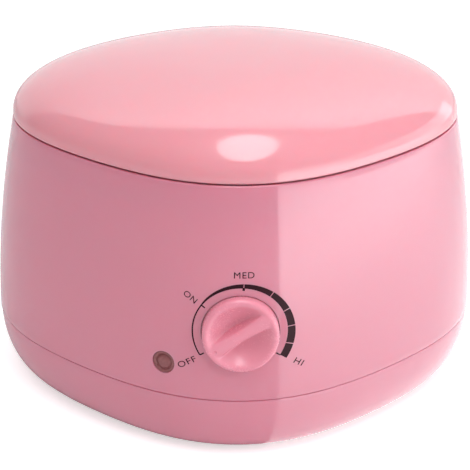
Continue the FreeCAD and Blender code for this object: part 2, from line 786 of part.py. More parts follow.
def make_housing():
    low = joint_level + size.joint_gap / 2
    outer = loft(housing_rings(low, housing_top, 0.0))
    inner = loft(housing_rings(low - 1.0, housing_top + 1.0, size.shell_wall))
    room = loft(housing_rings(low, housing_top, size.shell_wall / 2))

    deck = cuboid(-size.body_width, size.body_width, -size.body_width, size.body_width,
                  deck_under, deck_top)
    bead = cylinder(opening_radius + size.bead_width, deck_under, deck_top + size.bead_height,
                    0, pot_y)
    hangers = [cylinder(size.boss_radius, flange_top, deck_top, x, y) for x, y in hanger_places]
    inside = deck.fuse([bead] + hangers)

    posts = []
    for x, y in post_places:
        top = post_meet + size.housing_post_length
        posts.append(cylinder(size.post_radius, post_meet, top, x, y))
        outward = Vec(x, y - size.body_y, 0)
        outward.normalize()
        web = Part.makeBox(size.body_width / 2, size.post_web, size.housing_post_length,
                           Vec(0, -size.post_web / 2, 0))
        turn = math.degrees(math.atan2(outward.y, outward.x))
        web.Placement = at(x, y, post_meet, Vec(0, 0, 1), turn)
        posts.append(web)

    well = Part.makeCylinder(well_radius + size.well_wall, size.well_depth + size.well_wall,
                             Vec(0, 0, -size.well_depth - size.well_wall))
    lamp_boss = Part.makeCylinder(size.lamp_boss, size.lamp_boss_depth,
                                  Vec(0, 0, -size.lamp_boss_depth))
    pad_x = size.inlet_flange_x / 2 + size.inlet_margin + size.inlet_pad
    pad_z = size.inlet_flange_z / 2 + size.inlet_margin + size.inlet_pad
    inlet_pad = cuboid(-pad_x, pad_x, inlet_flat - size.inlet_pad, inlet_flat + size.inlet_recess,
                       size.inlet_level - pad_z, size.inlet_level + pad_z)
    inside = inside.fuse(posts + [in_frame(dial_frame, well), in_frame(lamp_frame, lamp_boss),
                                  inlet_pad])

    solid = outer.cut(inner).fuse(inside.common(room))
    solid = solid.fuse([hinge_lug(-1), hinge_lug(1)])

    cuts = [cylinder(opening_radius, 0, top_level, 0, pot_y)]
    pilot_top = deck_top - size.deck_thick / 3
    cuts += [cylinder(size.screw_radius, 0, pilot_top, x, y) for x, y in hanger_places]
    screw_tip = size.foot_stand + size.base_screw_sink + size.base_screw_length
    cuts += [cylinder(size.screw_radius, 0, screw_tip + 1.0, x, y) for x, y in post_places]
    floor_hole = size.bush_radius + size.bush_clearance
    well_bore = Part.makeCylinder(well_radius, size.well_depth + 20, Vec(0, 0, -size.well_depth))
    bush_hole = Part.makeCylinder(floor_hole, 2 * size.well_depth + size.well_wall,
                                  Vec(0, 0, -size.well_depth - size.well_wall - 1))
    cuts += [in_frame(dial_frame, well_bore), in_frame(dial_frame, bush_hole)]
    hole = size.lens_radius + size.lens_gap
    lens_hole = Part.makeCylinder(hole, 2 * size.lamp_boss_depth + 2,
                                  Vec(0, 0, -size.lamp_boss_depth - 1))
    counterbore = Part.makeCylinder(size.lens_flange + size.lens_gap, size.lamp_boss_depth,
                                    Vec(0, 0, -size.lens_shoulder - size.lamp_boss_depth))
    cuts += [in_frame(lamp_frame, lens_hole), in_frame(lamp_frame, counterbore)]
    flat_x = size.inlet_flange_x / 2 + size.inlet_margin
    flat_z = size.inlet_flange_z / 2 + size.inlet_margin
    cuts.append(cuboid(-flat_x, flat_x, inlet_flat, inlet_flat + size.body_width,
                       size.inlet_level - flat_z, size.inlet_level + flat_z))
    body_x = size.inlet_body_x / 2 + size.inlet_fit
    body_z = size.inlet_body_z / 2 + size.inlet_fit
    cuts.append(cuboid(-body_x, body_x, inlet_flat - 2 * size.inlet_body_depth, inlet_flat + 1,
                       size.inlet_level - body_z, size.inlet_level + body_z))
    for x in (-size.inlet_screw_x, size.inlet_screw_x):
        cuts.append(Part.makeCylinder(size.screw_radius, 20, Vec(x, inlet_flat + 1,
                                      size.inlet_level), Vec(0, -1, 0)))
    cuts.append(Part.makeCylinder(size.hinge_pin_radius + size.hinge_pin_seat,
                                  2 * size.body_width, Vec(-size.body_width, hinge_y, hinge_z),
                                  Vec(1, 0, 0)))
    return solid.cut(cuts)


feature_from("upper_housing", make_housing())

# ---------------------------------------------------------------------------------------------
# Base tray
# ---------------------------------------------------------------------------------------------


def make_base():
    top = joint_level - size.joint_gap / 2
    outer = loft(base_rings(top, size.foot_stand, 0.0))
    inner_rings = base_rings(top, base_inside, size.shell_wall)
    inner_rings.append((top + 5.0, size.base_top_ratio, size.shell_wall))
    inner = loft(inner_rings)
    shell = outer.cut(inner)

    lip_out = size.shell_wall + size.lip_clearance
    lip_in = lip_out + size.lip_thick
    lip_low = joint_level - 2 * size.lip_reach
    lip_high = joint_level + size.lip_reach
    upstand = loft([(lip_low, 1.0, lip_out), (lip_high, 1.0, lip_out)], True)
    root = loft([(lip_low, 1.0, size.shell_wall / 2), (top, 1.0, size.shell_wall / 2)], True)
    hollow = loft([(lip_low - 1, 1.0, lip_in), (lip_high + 1, 1.0, lip_in)], True)
    root = root.common(outer)
    lip = upstand.fuse(root).cut(hollow)
    solid = shell.fuse(lip)

    posts = [cylinder(size.post_radius, base_inside - 1, post_meet, x, y) for x, y in post_places]
    boss_x = size.block_x + size.pole_pitch / 2
    boss_y = size.body_y + size.block_y
    boss = cylinder(size.boss_radius, base_inside - 1, block_under, boss_x, boss_y)
    solid = solid.fuse(posts + [boss])

    seat = size.foot_stand + size.base_screw_sink
    cuts = []
    for x, y in post_places:
        cuts.append(cylinder(size.screw_head + size.screw_play, -1, seat, x, y))
        cuts.append(cylinder(screw_hole, -1, rim_level, x, y))
    for x, y in foot_places:
        cuts.append(cylinder(size.foot_stem + size.foot_play, -1, base_inside + 1, x, y))
    for i in range(5):
        offset = (i - 2) * size.vent_pitch
        cuts.append(cuboid(-size.vent_length / 2, size.vent_length / 2,
                           size.body_y + offset - size.vent_width / 2,
                           size.body_y + offset + size.vent_width / 2, -1, base_inside + 1))
    cuts.append(cylinder(size.screw_radius, size.foot_stand + size.shell_wall / 2, block_under + 1,
                         boss_x, boss_y))
    return solid.cut(cuts)


feature_from("base_tray", make_base())

# ---------------------------------------------------------------------------------------------
# Lid
# ---------------------------------------------------------------------------------------------


def make_lid():
    outer = loft(dome_rings(lid_under, size.lid_height - size.lid_gap / 2, 0.0))
    inner_rings = dome_rings(lid_under, size.lid_height - size.lid_gap / 2 - size.lid_wall,
                             size.lid_wall)
    level, ratio, inset = inner_rings[0]
    inner_rings.insert(0, (lid_under - 1.0, ratio, inset))
    shell = outer.cut(loft(inner_rings))

    rib_out = size.shell_wall + size.rib_clearance
    rib_low = lid_under - size.lid_gap - size.rib_reach
    rib_high = lid_under + 2 * size.rib_reach
    rib_outer = loft([(rib_low, size.rim_ratio, rib_out), (rib_high, size.rim_ratio, rib_out)],
                     True)
    rib_in = rib_out + size.rib_thick
    rib_inner = loft([(rib_low - 1, size.rim_ratio, rib_in),
                      (rib_high + 1, size.rim_ratio, rib_in)], True)
    root = loft([(lid_under, size.rim_ratio, size.lid_wall / 2),
                 (rib_high, size.rim_ratio, size.lid_wall / 2)], True)
    rib = rib_outer.fuse(root).cut(rib_inner).common(outer.fuse(
        cuboid(-size.body_width, size.body_width, -size.body_width, size.body_width,
               rib_low, lid_under)))
    front_half = cuboid(-size.body_width, size.body_width, -size.body_width, size.body_y,
                        rib_low - 1, rib_high + 1)
    shell = shell.fuse(rib.common(front_half))

    half = size.lid_knuckle / 2
    reach = wall_rear(rim_level)
    corners = [
        (hinge_y + size.knuckle_radius, hinge_z),
        (hinge_y + size.knuckle_radius, lid_under + 2.0),
        (reach - size.lid_wall / 2, lid_under + 7.0),
        (reach - size.lid_wall / 2, lid_under),
        (hinge_y - size.knuckle_radius, lid_under),
        (hinge_y - size.knuckle_radius, hinge_z),
    ]
    wire = Part.makePolygon([Vec(-half, y, z) for y, z in corners + corners[:1]])
    arm = Part.Face(wire).extrude(Vec(2 * half, 0, 0))
    eye = Part.makeCylinder(size.knuckle_radius, 2 * half, Vec(-half, hinge_y, hinge_z),
                            Vec(1, 0, 0))
    bore = Part.makeCylinder(size.hinge_pin_radius + size.hinge_pin_clearance,
                             2 * size.body_width, Vec(-size.body_width, hinge_y, hinge_z),
                             Vec(1, 0, 0))
    keep_out = loft(inner_rings)
    return shell.fuse(arm.fuse(eye).cut(keep_out)).cut(bore)


feature_from("lid", make_lid())

hinge_pin = doc.addObject("Part::Cylinder", "hinge_pin")
hinge_pin.setExpression("Radius", cell("hinge_pin_radius"))
hinge_pin.setExpression("Height", cell("lid_knuckle + 2 * knuckle_gap + 2 * lug_length"))
place(hinge_pin, "-lid_knuckle / 2 - knuckle_gap - lug_length", "hinge_y", "hinge_z",
      "0; 1; 0", "90")
keep(hinge_pin)

# ---------------------------------------------------------------------------------------------
# Heating chamber, pot and bail
# ---------------------------------------------------------------------------------------------

chamber = new_body("heating_chamber")
revolve(chamber, "chamber_cup", [
    ("0", "chamber_under"),
    ("chamber_radius", "chamber_under"),
    ("chamber_radius", "flange_under"),
    ("chamber_radius + flange_width", "flange_under"),
    ("chamber_radius + flange_width", "flange_top"),
    ("chamber_radius", "flange_top"),
    ("chamber_radius", "collar_top"),
    ("chamber_bore", "collar_top"),
    ("chamber_bore", "chamber_floor"),
    ("0", "chamber_floor"),
])
pads = sketch_on(chamber, "XY_Plane", "chamber_pads", "chamber_under")
circle(pads, "bracket_screw_x", "bracket_screw_y", "pad_radius")
circle(pads, "-bracket_screw_x", "bracket_screw_y", "pad_radius")
circle(pads, "fuse_x", "fuse_y + clip_screw", "pad_radius")
pad(chamber, pads, "chamber_bosses", "pad_height", down=True)
pilots = sketch_on(chamber, "XY_Plane", "chamber_pilots", "pad_under")
circle(pilots, "bracket_screw_x", "bracket_screw_y", "screw_radius")
circle(pilots, "-bracket_screw_x", "bracket_screw_y", "screw_radius")
circle(pilots, "fuse_x", "fuse_y + clip_screw", "screw_radius")
pocket(chamber, pilots, "chamber_pilot_holes", "pad_height + chamber_wall / 2", up=True)
flange_hole = sketch_on(chamber, "XY_Plane", "chamber_flange_hole", "flange_top")
circle(flange_hole, "screw_circle * cos(45)", "screw_circle * sin(45)", "screw_hole")
polar(chamber, pocket(chamber, flange_hole, "chamber_flange_cut", "flange_thick"),
      "chamber_flange_holes", 4)
place(chamber, y="pot_y")
keep(chamber)

pot = new_body("inner_pot")
revolve(pot, "pot_cup", [
    ("0", "pot_bottom"),
    ("pot_radius", "pot_bottom"),
    ("pot_radius", "pot_rim_under"),
    ("pot_rim_radius", "pot_rim_under"),
    ("pot_rim_radius", "pot_rim_top"),
    ("pot_radius - pot_wall", "pot_rim_top"),
    ("pot_radius - pot_wall", "pot_bottom + pot_wall"),
    ("0", "pot_bottom + pot_wall"),
])
round_edges(pot, "pot_outer_corner", "pot_corner", round_edge_at(size.pot_radius, pot_bottom))
round_edges(pot, "pot_inner_corner", "pot_corner - pot_wall",
            round_edge_at(size.pot_radius - size.pot_wall, pot_bottom + size.pot_wall))
place(pot, y="pot_y")
keep(pot)


ear = new_body("bail_ear")
ear_plate = sketch_on(ear, "YZ_Plane", "ear_plate_outline", "ear_inset")
rectangle(ear_plate, "-ear_width / 2", "ear_width / 2", "pot_rim_top", "bail_level + ear_crown")
pad(ear, ear_plate, "ear_plate", "ear_thick")
ear_tab = sketch_on(ear, "XY_Plane", "ear_tab_outline", "pot_rim_top")
rectangle(ear_tab, "ear_inset - ear_foot", "ear_inset + ear_thick / 2",
          "-ear_width / 2", "ear_width / 2")
pad(ear, ear_tab, "ear_tab", "ear_thick")
ear_hole = sketch_on(ear, "YZ_Plane", "ear_hole_outline", "ear_inset + ear_thick")
circle(ear_hole, "0", "bail_level", "bail_radius + ear_clearance")
pocket(ear, ear_hole, "ear_hole", "ear_thick + ear_foot")
round_edges(ear, "ear_round_top", "ear_crown", corner_edge_above(bail_level))
copies("bail_ears", ear, [at(0, pot_y, 0, Vec(0, 0, 1), turn) for turn in (0, 180)])


def make_bail():
    """Round wire: a half hoop whose ends turn inward through the ears."""
    reach, corner = size.bail_reach, size.bail_corner
    level = bail_level
    edges = []
    bend = math.sqrt(0.5) * corner
    for side in (1, -1):
        start = Vec(side * size.bail_end, 0, level)
        turn_in = Vec(side * (reach - corner), 0, level)
        middle = Vec(side * (reach - corner + bend), -corner + bend, level)
        turn_out = Vec(side * reach, -corner, level)
        edges.append(Part.LineSegment(start, turn_in).toShape())
        edges.append(Part.Arc(turn_in, middle, turn_out).toShape())
    hoop = Part.Arc(Vec(reach, -corner, level), Vec(0, -corner - reach, level),
                    Vec(-reach, -corner, level))
    edges.append(hoop.toShape())
    path = Part.Wire(Part.__sortEdges__(edges))
    section = Part.Wire(Part.makeCircle(size.bail_radius, Vec(-size.bail_end, 0, level),
                                        Vec(1, 0, 0)))
    first = path.OrderedVertexes[0].Point
    if first.x > 0:
        section = Part.Wire(Part.makeCircle(size.bail_radius, Vec(size.bail_end, 0, level),
                                            Vec(1, 0, 0)))
    wire = path.makePipeShell([section], True, False)
    wire.Placement = at(0, pot_y, 0)
    return wire


feature_from("pot_bail", make_bail())

chamber_screw = new_body("chamber_screw")
revolve(chamber_screw, "chamber_screw_turned", [
    ("0", "-screw_cap"), ("screw_head", "-screw_cap"), ("screw_head", "0"),
    ("screw_radius", "0"), ("screw_radius", "chamber_screw_length"),
    ("0", "chamber_screw_length + screw_radius / 2"),
])
copies("chamber_screws", chamber_screw, [at(x, y, flange_under) for x, y in hanger_places])

# ---------------------------------------------------------------------------------------------
# Band heater
# ---------------------------------------------------------------------------------------------

def heater_post(side):
    """Outer end of a terminal post on the band, and the way it points."""
    angle = math.radians(side * size.heater_post_angle)
    way = Vec(math.cos(angle), math.sin(angle), 0)
    end = way * (heater_radius + size.heater_post_length) + Vec(0, pot_y, heater_middle)
    return end, way


def post_object(name, side):
    """Terminal post that stands radially on the band."""
    angle = "%s * heater_post_angle" % side
    root = "heater_radius - heater_thick / 2"
    return bound_cylinder(
        name, "heater_post_radius", "heater_thick / 2 + heater_post_length",
        "(%s) * cos(%s)" % (root, angle), "pot_y + (%s) * sin(%s)" % (root, angle),
        "heater_middle", "-sin(%s); cos(%s); 0" % (angle, angle), "90")


def ear_object(name, front):
    return bound_box(name, "heater_thick / 2 + heater_ear", "heater_ear_thick", "heater_height",
                     "heater_radius - heater_thick / 2", front, "heater_base")


heater_blank = union("heater_blank", [
    bound_cylinder("heater_disc", "heater_radius", "heater_height", "0", "pot_y", "heater_base"),
    ear_object("heater_front_ear", "pot_y - ear_face"),
    ear_object("heater_rear_ear", "pot_y + heater_split / 2"),
    post_object("heater_front_post", -1),
    post_object("heater_rear_post", 1),
])
heater_room = union("heater_room", [
    bound_cylinder("heater_hollow", "heater_bore", "heater_height", "0", "pot_y", "heater_base"),
    bound_box("heater_gap", "2 * heater_radius", "heater_split", "heater_height",
              "0", "pot_y - heater_split / 2", "heater_base"),
    bound_cylinder("heater_bolt_hole", "screw_hole", "2 * ear_face", "heater_bolt_x",
                   "pot_y - ear_face", "heater_middle", "1; 0; 0", "-90"),
])
keep(difference("band_heater", heater_blank, heater_room))

clamp_bolt = new_body("heater_clamp_bolt")
revolve(clamp_bolt, "clamp_bolt_turned", [
    ("0", "-ear_face - screw_cap"), ("screw_head", "-ear_face - screw_cap"),
    ("screw_head", "-ear_face"), ("screw_radius", "-ear_face"),
    ("screw_radius", "ear_face + 2 * screw_cap"), ("0", "ear_face + 2 * screw_cap"),
])
place(clamp_bolt, "heater_bolt_x", "pot_y", "heater_middle", "1; 0; 0", "-90")
keep(clamp_bolt)

nut = doc.addObject("Part::Prism", "clamp_nut_blank")
nut.Polygon = 6
nut.setExpression("Circumradius", cell("screw_head + 0.2"))
nut.setExpression("Height", cell("screw_cap"))
place(nut, "heater_bolt_x", "pot_y + ear_face", "heater_middle", "1; 0; 0", "-90")
nut_bore = bound_cylinder("clamp_nut_bore", "screw_radius + shaft_fit", "screw_cap",
                          "heater_bolt_x", "pot_y + ear_face", "heater_middle", "1; 0; 0", "-90")
keep(difference("heater_clamp_nut", nut, nut_bore))

# ---------------------------------------------------------------------------------------------
# Knob and shaft, drawn along the dial axis with the wall at zero
# ---------------------------------------------------------------------------------------------

knob = new_body("knob")
revolve(knob, "knob_blank", [
    ("0", "-well_depth + knob_lift"),
    ("hub_radius", "-well_depth + knob_lift"),
    ("hub_radius", "-knob_web"),
    ("knob_radius - knob_skirt", "-knob_web"),
    ("knob_radius - knob_skirt", "-well_depth + knob_lift"),
    ("knob_radius", "-well_depth + knob_lift"),
    ("knob_radius", "knob_crown"),
    ("0", "knob_crown"),
])
round_edges(knob, "knob_rounded_edge", "knob_round", round_edge_at(size.knob_radius,
                                                                   size.knob_crown))
bowl = knob.newObject("PartDesign::SubtractiveSphere", "knob_bowl")
bowl.setExpression("Radius", cell("bowl_sphere"))
origin_plane = [item for item in knob.Origin.OriginFeatures if item.Role == "XY_Plane"][0]
bowl.AttachmentSupport = [(origin_plane, "")]
bowl.MapMode = "FlatFace"
bowl.setExpression(".AttachmentOffset.Base.z", cell("knob_crown - bowl_depth + bowl_sphere"))
doc.recompute()
ridge = sketch_on(knob, "XY_Plane", "knob_ridge_outline", "knob_crown - knob_round / 8")
ridge_reach = "bowl_radius + knob_round / 4"
outline(ridge, [
    ("-" + ridge_reach.replace("+", "-"), "-ridge_end"), ("0", "-ridge_waist"),
    (ridge_reach, "-ridge_end"), (ridge_reach, "ridge_end"),
    ("0", "ridge_waist"), ("-" + ridge_reach.replace("+", "-"), "ridge_end"),
])
pad(knob, ridge, "knob_ridge", "bowl_depth + knob_round / 2", down=True, draft="ridge_draft")
dimple = sketch_on(knob, "XY_Plane", "knob_pointer_outline", "knob_crown")
circle(dimple, "-pointer_place", "0", "pointer_radius")
pocket(knob, dimple, "knob_pointer", "pointer_radius")
socket = sketch_on(knob, "XY_Plane", "knob_socket_outline", "-well_depth + knob_lift")
circle(socket, "0", "0", "shaft_radius + shaft_fit")
pocket(knob, socket, "knob_socket", "well_depth - knob_lift - shaft_end + 0.2", up=True)
key = sketch_on(knob, "XY_Plane", "knob_key_outline", "-well_depth + knob_lift")
rectangle(key, "-shaft_radius", "shaft_radius", "shaft_flat + shaft_fit",
          "shaft_radius + shaft_fit * 5")
pad(knob, key, "knob_key", "well_depth - knob_lift - shaft_end + 0.3")


def on_dial_turned(item):
    """As on_dial, with the ridge turned so that the pointer stands at OFF."""
    tilt = "rotation(vector(1; 0; 0); %s)" % cell("90 - dial_tilt")
    turn = "rotation(vector(0; 0; 1); %s)" % cell("off_angle")
    spot = "vector(0; %s; %s)" % (cell("dial_y"), cell("dial_level"))
    item.setExpression("Placement", "placement(%s; %s * %s)" % (spot, tilt, turn))


on_dial_turned(knob)
keep(knob)

shaft = new_body("thermostat_shaft")
revolve(shaft, "shaft_turned", [
    ("0", "-upper_blade + 0.3"), ("1.2", "-upper_blade + 0.3"),
    ("1.2", "-strap_place - strap_thick - 0.4"),
    ("shaft_radius", "-strap_place - strap_thick - 0.4"),
    ("shaft_radius", "-shaft_end"), ("0", "-shaft_end"),
])
flat = sketch_on(shaft, "XY_Plane", "shaft_flat_outline", "-shaft_end")
rectangle(flat, "-2 * shaft_radius", "2 * shaft_radius", "shaft_flat", "2 * shaft_radius")
pocket(shaft, flat, "shaft_flat_cut", "bush_end - shaft_end - 0.4")
on_dial_turned(shaft)
keep(shaft)

# ---------------------------------------------------------------------------------------------
# Thermostat: bracket, insulators, blades, top plate with bush, rivet
# ---------------------------------------------------------------------------------------------


def dial_to_world(side, rise, out):
    """Point given to the right of, above and outside the dial centre."""
    return dial_frame.multVec(Vec(side, rise, out))


def bracket_y(level, inward):
    """Y on a plane parallel to the dial, a given way inward from the wall, at one level."""
    return ("dial_y + (%s + sin(dial_tilt) * (%s - dial_level)) / cos(dial_tilt)"
            % (inward, level))


bracket_plate = new_body("bracket_plate")
side_view = sketch_on(bracket_plate, "YZ_Plane", "bracket_side_view",
                      "-bracket_screw_x - pad_radius")
bracket_back = "bracket_face + bracket_thick"
outline(side_view, [
    (bracket_y("(dial_level + bracket_top)", "bracket_face"), "dial_level + bracket_top"),
    (bracket_y("(pad_under - bracket_thick)", "bracket_face"), "pad_under - bracket_thick"),
    ("pot_y + bracket_screw_y + bracket_foot", "pad_under - bracket_thick"),
    ("pot_y + bracket_screw_y + bracket_foot", "pad_under"),
    (bracket_y("pad_under", bracket_back), "pad_under"),
    (bracket_y("(dial_level + bracket_top)", bracket_back), "dial_level + bracket_top"),
])
pad(bracket_plate, side_view, "bracket_bent_plate",
    "bracket_side + bracket_screw_x + pad_radius")
foot_holes = sketch_on(bracket_plate, "XY_Plane", "bracket_foot_holes", "pad_under")
circle(foot_holes, "-bracket_screw_x", "pot_y + bracket_screw_y", "screw_hole")
circle(foot_holes, "bracket_screw_x", "pot_y + bracket_screw_y", "screw_hole")
pocket(bracket_plate, foot_holes, "bracket_foot_cut", "bracket_thick")
rivet_hole = doc.addObject("Part::Cylinder", "bracket_rivet_hole")
rivet_hole.setExpression("Radius", cell("rivet_radius"))
rivet_hole.setExpression("Height", cell("2 * bracket_face"))
place(rivet_hole, "stack_offset", "dial_y", "dial_level", "1; 0; 0", "270 - dial_tilt")
keep(difference("thermostat_bracket", bracket_plate, rivet_hole))

small_screw = new_body("small_screw")
revolve(small_screw, "small_screw_turned", [
    ("0", "-screw_cap"), ("screw_head", "-screw_cap"), ("screw_head", "0"),
    ("screw_radius", "0"), ("screw_radius", "small_screw_length - screw_radius"),
    ("0", "small_screw_length"),
])
foot_under = pad_under - size.bracket_thick
copies("bracket_screws", small_screw,
       [at(x, y, foot_under)
        for x, y in mirrored(size.bracket_screw_x, pot_y + size.bracket_screw_y)])


def washer(name, front, thick):
    """Ceramic ring round the stack's rivet; front is measured inward from the wall."""
    low = "-(%s) - (%s)" % (front, thick)
    disc = bound_cylinder(name + "_disc", "insulator_radius", thick, "stack_offset", "0", low)
    hole = bound_cylinder(name + "_hole", "rivet_radius", thick, "stack_offset", "0", low)
    return difference(name, disc, hole)


insulators = group("thermostat_insulators", [
    washer("upper_washer", "strap_place + strap_thick", "upper_insulator"),
    washer("middle_washer", "upper_blade + blade_thick", "middle_insulator"),
    washer("lower_washer", "lower_blade + blade_thick", "lower_insulator"),
])
on_dial(insulators)
keep(insulators)


def blade(label, front, tab, contact_out):
    """Spring blade with a contact rivet at its free end and a tab at the other."""
    body = new_body(label)
    strip = sketch_on(body, "XY_Plane", label + "_strip_outline", "-" + front)
    rectangle(strip, "-blade_reach", tab, "-blade_width / 2", "blade_width / 2")
    circle(strip, "stack_offset", "0", "rivet_radius")
    pad(body, strip, label + "_strip", "blade_thick", down=True)
    rise = "-" + front if contact_out else "-" + front + " - blade_thick"
    button = sketch_on(body, "XY_Plane", label + "_contact_outline", rise)
    circle(button, "-blade_reach + contact_radius * 1.5", "0", "contact_radius")
    pad(body, button, label + "_contact", "contact_height", down=not contact_out)
    on_dial(body)
    return keep(body)


blade("upper_contact_blade", "upper_blade", "short_tab", False)
blade("lower_contact_blade", "lower_blade", "long_tab", True)

strap = new_body("thermostat_top_plate")
plate = sketch_on(strap, "XY_Plane", "top_plate_outline", "-strap_place")
rectangle(plate, "-blade_reach", "stack_offset + insulator_radius", "-bush_radius", "bush_radius")
circle(plate, "stack_offset", "0", "rivet_radius")
pad(strap, plate, "top_plate", "strap_thick", down=True)
bush = sketch_on(strap, "XY_Plane", "bush_outline", "-strap_place")
circle(bush, "0", "0", "bush_radius")
pad(strap, bush, "bush", "strap_place - bush_end")
bush_bore = sketch_on(strap, "XY_Plane", "bush_bore_outline", "-bush_end")
circle(bush_bore, "0", "0", "shaft_radius + shaft_clearance")
pocket(strap, bush_bore, "bush_bore")
on_dial(strap)
keep(strap)

rivet = new_body("thermostat_rivet")
revolve(rivet, "rivet_turned", [
    ("0", "-bracket_face - bracket_thick - rivet_cap"),
    ("rivet_head", "-bracket_face - bracket_thick - rivet_cap"),
    ("rivet_head", "-bracket_face - bracket_thick"),
    ("rivet_radius", "-bracket_face - bracket_thick"),
    ("rivet_radius", "-strap_place"),
    ("rivet_head", "-strap_place"),
    ("rivet_head", "-strap_place + rivet_cap"),
    ("0", "-strap_place + rivet_cap"),
])
rivet_spot = dial_to_world(size.stack_offset, 0, 0)
write_size("rivet_y", rivet_spot.y, "stack rivet")
write_size("rivet_z", rivet_spot.z, "stack rivet")
doc.recompute()
place(rivet, "stack_offset", "rivet_y", "rivet_z", "1; 0; 0", "90 - dial_tilt")
keep(rivet)

# ---------------------------------------------------------------------------------------------
# Indicator: lens, holder and neon lamp, along the wall's normal
# ---------------------------------------------------------------------------------------------

lens = new_body("indicator_lens")
revolve(lens, "lens_turned", [
    ("0", "-lens_shoulder - lens_flange_thick"),
    ("lens_flange", "-lens_shoulder - lens_flange_thick"),
    ("lens_flange", "-lens_shoulder"),
    ("lens_radius", "-lens_shoulder"),
    ("lens_radius", "-lens_sink"),
    ("lens_radius * 0.8", "-lens_sink"),
    ("lens_radius * 0.68", "-lens_sink - 0.6"),
    ("lens_radius * 0.56", "-lens_sink - 0.2"),
    ("lens_radius * 0.3", "-lens_sink"),
    ("0", "-lens_sink + 0.1"),
])
lens.Placement = lamp_frame
keep(lens)

holder = new_body("lamp_holder")
revolve(holder, "holder_turned", [
    ("holder_bore", "-lens_shoulder - lens_flange_thick - holder_length"),
    ("lens_flange", "-lens_shoulder - lens_flange_thick - holder_length"),
    ("lens_flange", "-lens_shoulder - lens_flange_thick"),
    ("holder_bore", "-lens_shoulder - lens_flange_thick"),
])
holder.Placement = lamp_frame
keep(holder)

lamp = new_body("neon_lamp")
revolve(lamp, "lamp_turned", [
    ("0", "-lens_shoulder - lens_flange_thick - lamp_length - 0.2"),
    ("lamp_radius", "-lens_shoulder - lens_flange_thick - lamp_length - 0.2"),
    ("lamp_radius", "-lens_shoulder - lens_flange_thick - 2"),
    ("lamp_radius * 0.6", "-lens_shoulder - lens_flange_thick - 0.6"),
    ("0", "-lens_shoulder - lens_flange_thick - 0.2"),
])
lamp.Placement = lamp_frame
keep(lamp)

# ---------------------------------------------------------------------------------------------
# Mains inlet, drawn with local Z out of the rear wall
# ---------------------------------------------------------------------------------------------


def on_rear(item):
    place(item, "0", "inlet_flat", "inlet_level", "1; 0; 0", "-90")


inlet = new_body("inlet_body")
flange = sketch_on(inlet, "XY_Plane", "inlet_flange_outline")
rectangle(flange, "-inlet_flange_x / 2", "inlet_flange_x / 2",
          "-inlet_flange_z / 2", "inlet_flange_z / 2")
pad(inlet, flange, "inlet_flange", "inlet_flange_thick")
shell = sketch_on(inlet, "XY_Plane", "inlet_shell_outline")
rectangle(shell, "-inlet_body_x / 2", "inlet_body_x / 2",
          "-inlet_body_z / 2", "inlet_body_z / 2")
pad(inlet, shell, "inlet_shell", "inlet_body_depth", down=True)
for name, x in (("left", "-pin_spacing / 2"), ("right", "pin_spacing / 2")):
    lobe = sketch_on(inlet, "XY_Plane", "socket_%s_outline" % name, "inlet_flange_thick")
    circle(lobe, x, "0", "socket_radius")
    pocket(inlet, lobe, "socket_" + name, "socket_depth")
waist = sketch_on(inlet, "XY_Plane", "socket_waist_outline", "inlet_flange_thick")
rectangle(waist, "-pin_spacing / 2", "pin_spacing / 2", "-socket_radius * 0.8",
          "socket_radius * 0.8")
pocket(inlet, waist, "socket_waist", "socket_depth")
pin_holes = sketch_on(inlet, "XY_Plane", "pin_holes_outline")
circle(pin_holes, "-pin_spacing / 2", "0", "pin_radius + shaft_fit")
circle(pin_holes, "pin_spacing / 2", "0", "pin_radius + shaft_fit")
pocket(inlet, pin_holes, "pin_holes")
ear_holes = sketch_on(inlet, "XY_Plane", "inlet_screw_outline", "inlet_flange_thick")
circle(ear_holes, "-inlet_screw_x", "0", "screw_hole")
circle(ear_holes, "inlet_screw_x", "0", "screw_hole")
pocket(inlet, ear_holes, "inlet_screw_holes", "inlet_flange_thick")
on_rear(inlet)
keep(inlet)

pin = new_body("inlet_pin")
pin_round = sketch_on(pin, "XY_Plane", "pin_outline", "-inlet_body_depth")
circle(pin_round, "0", "0", "pin_radius")
pad(pin, pin_round, "pin_rod", "inlet_body_depth + inlet_flange_thick - socket_depth + pin_length")
tab_flat = sketch_on(pin, "XY_Plane", "tab_outline", "-inlet_body_depth")
rectangle(tab_flat, "-tab_width / 2", "tab_width / 2", "-tab_thick / 2", "tab_thick / 2")
pad(pin, tab_flat, "pin_tab", "tab_length", down=True)
rear_turn = FreeCAD.Rotation(Vec(1, 0, 0), -90)
pin_places = [(x, 0) for x in (-size.pin_spacing / 2, size.pin_spacing / 2)]
copies("inlet_pins", pin, [FreeCAD.Placement(Vec(x, inlet_flat, size.inlet_level), rear_turn)
                           for x, _ in pin_places])

inlet_screw = new_body("inlet_screw")
revolve(inlet_screw, "inlet_screw_turned", [
    ("0", "inlet_flange_thick - inlet_screw_length"),
    ("screw_radius", "inlet_flange_thick - inlet_screw_length + screw_radius"),
    ("screw_radius", "inlet_flange_thick"),
    ("screw_head", "inlet_flange_thick"),
    ("screw_head * 0.7", "inlet_flange_thick + screw_cap * 0.6"),
    ("0", "inlet_flange_thick + screw_cap * 0.6"),
])
copies("inlet_screws", inlet_screw,
       [FreeCAD.Placement(Vec(x, inlet_flat, size.inlet_level), rear_turn)
        for x in (-size.inlet_screw_x, size.inlet_screw_x)])

# ---------------------------------------------------------------------------------------------
# Feet and base screws
# ---------------------------------------------------------------------------------------------

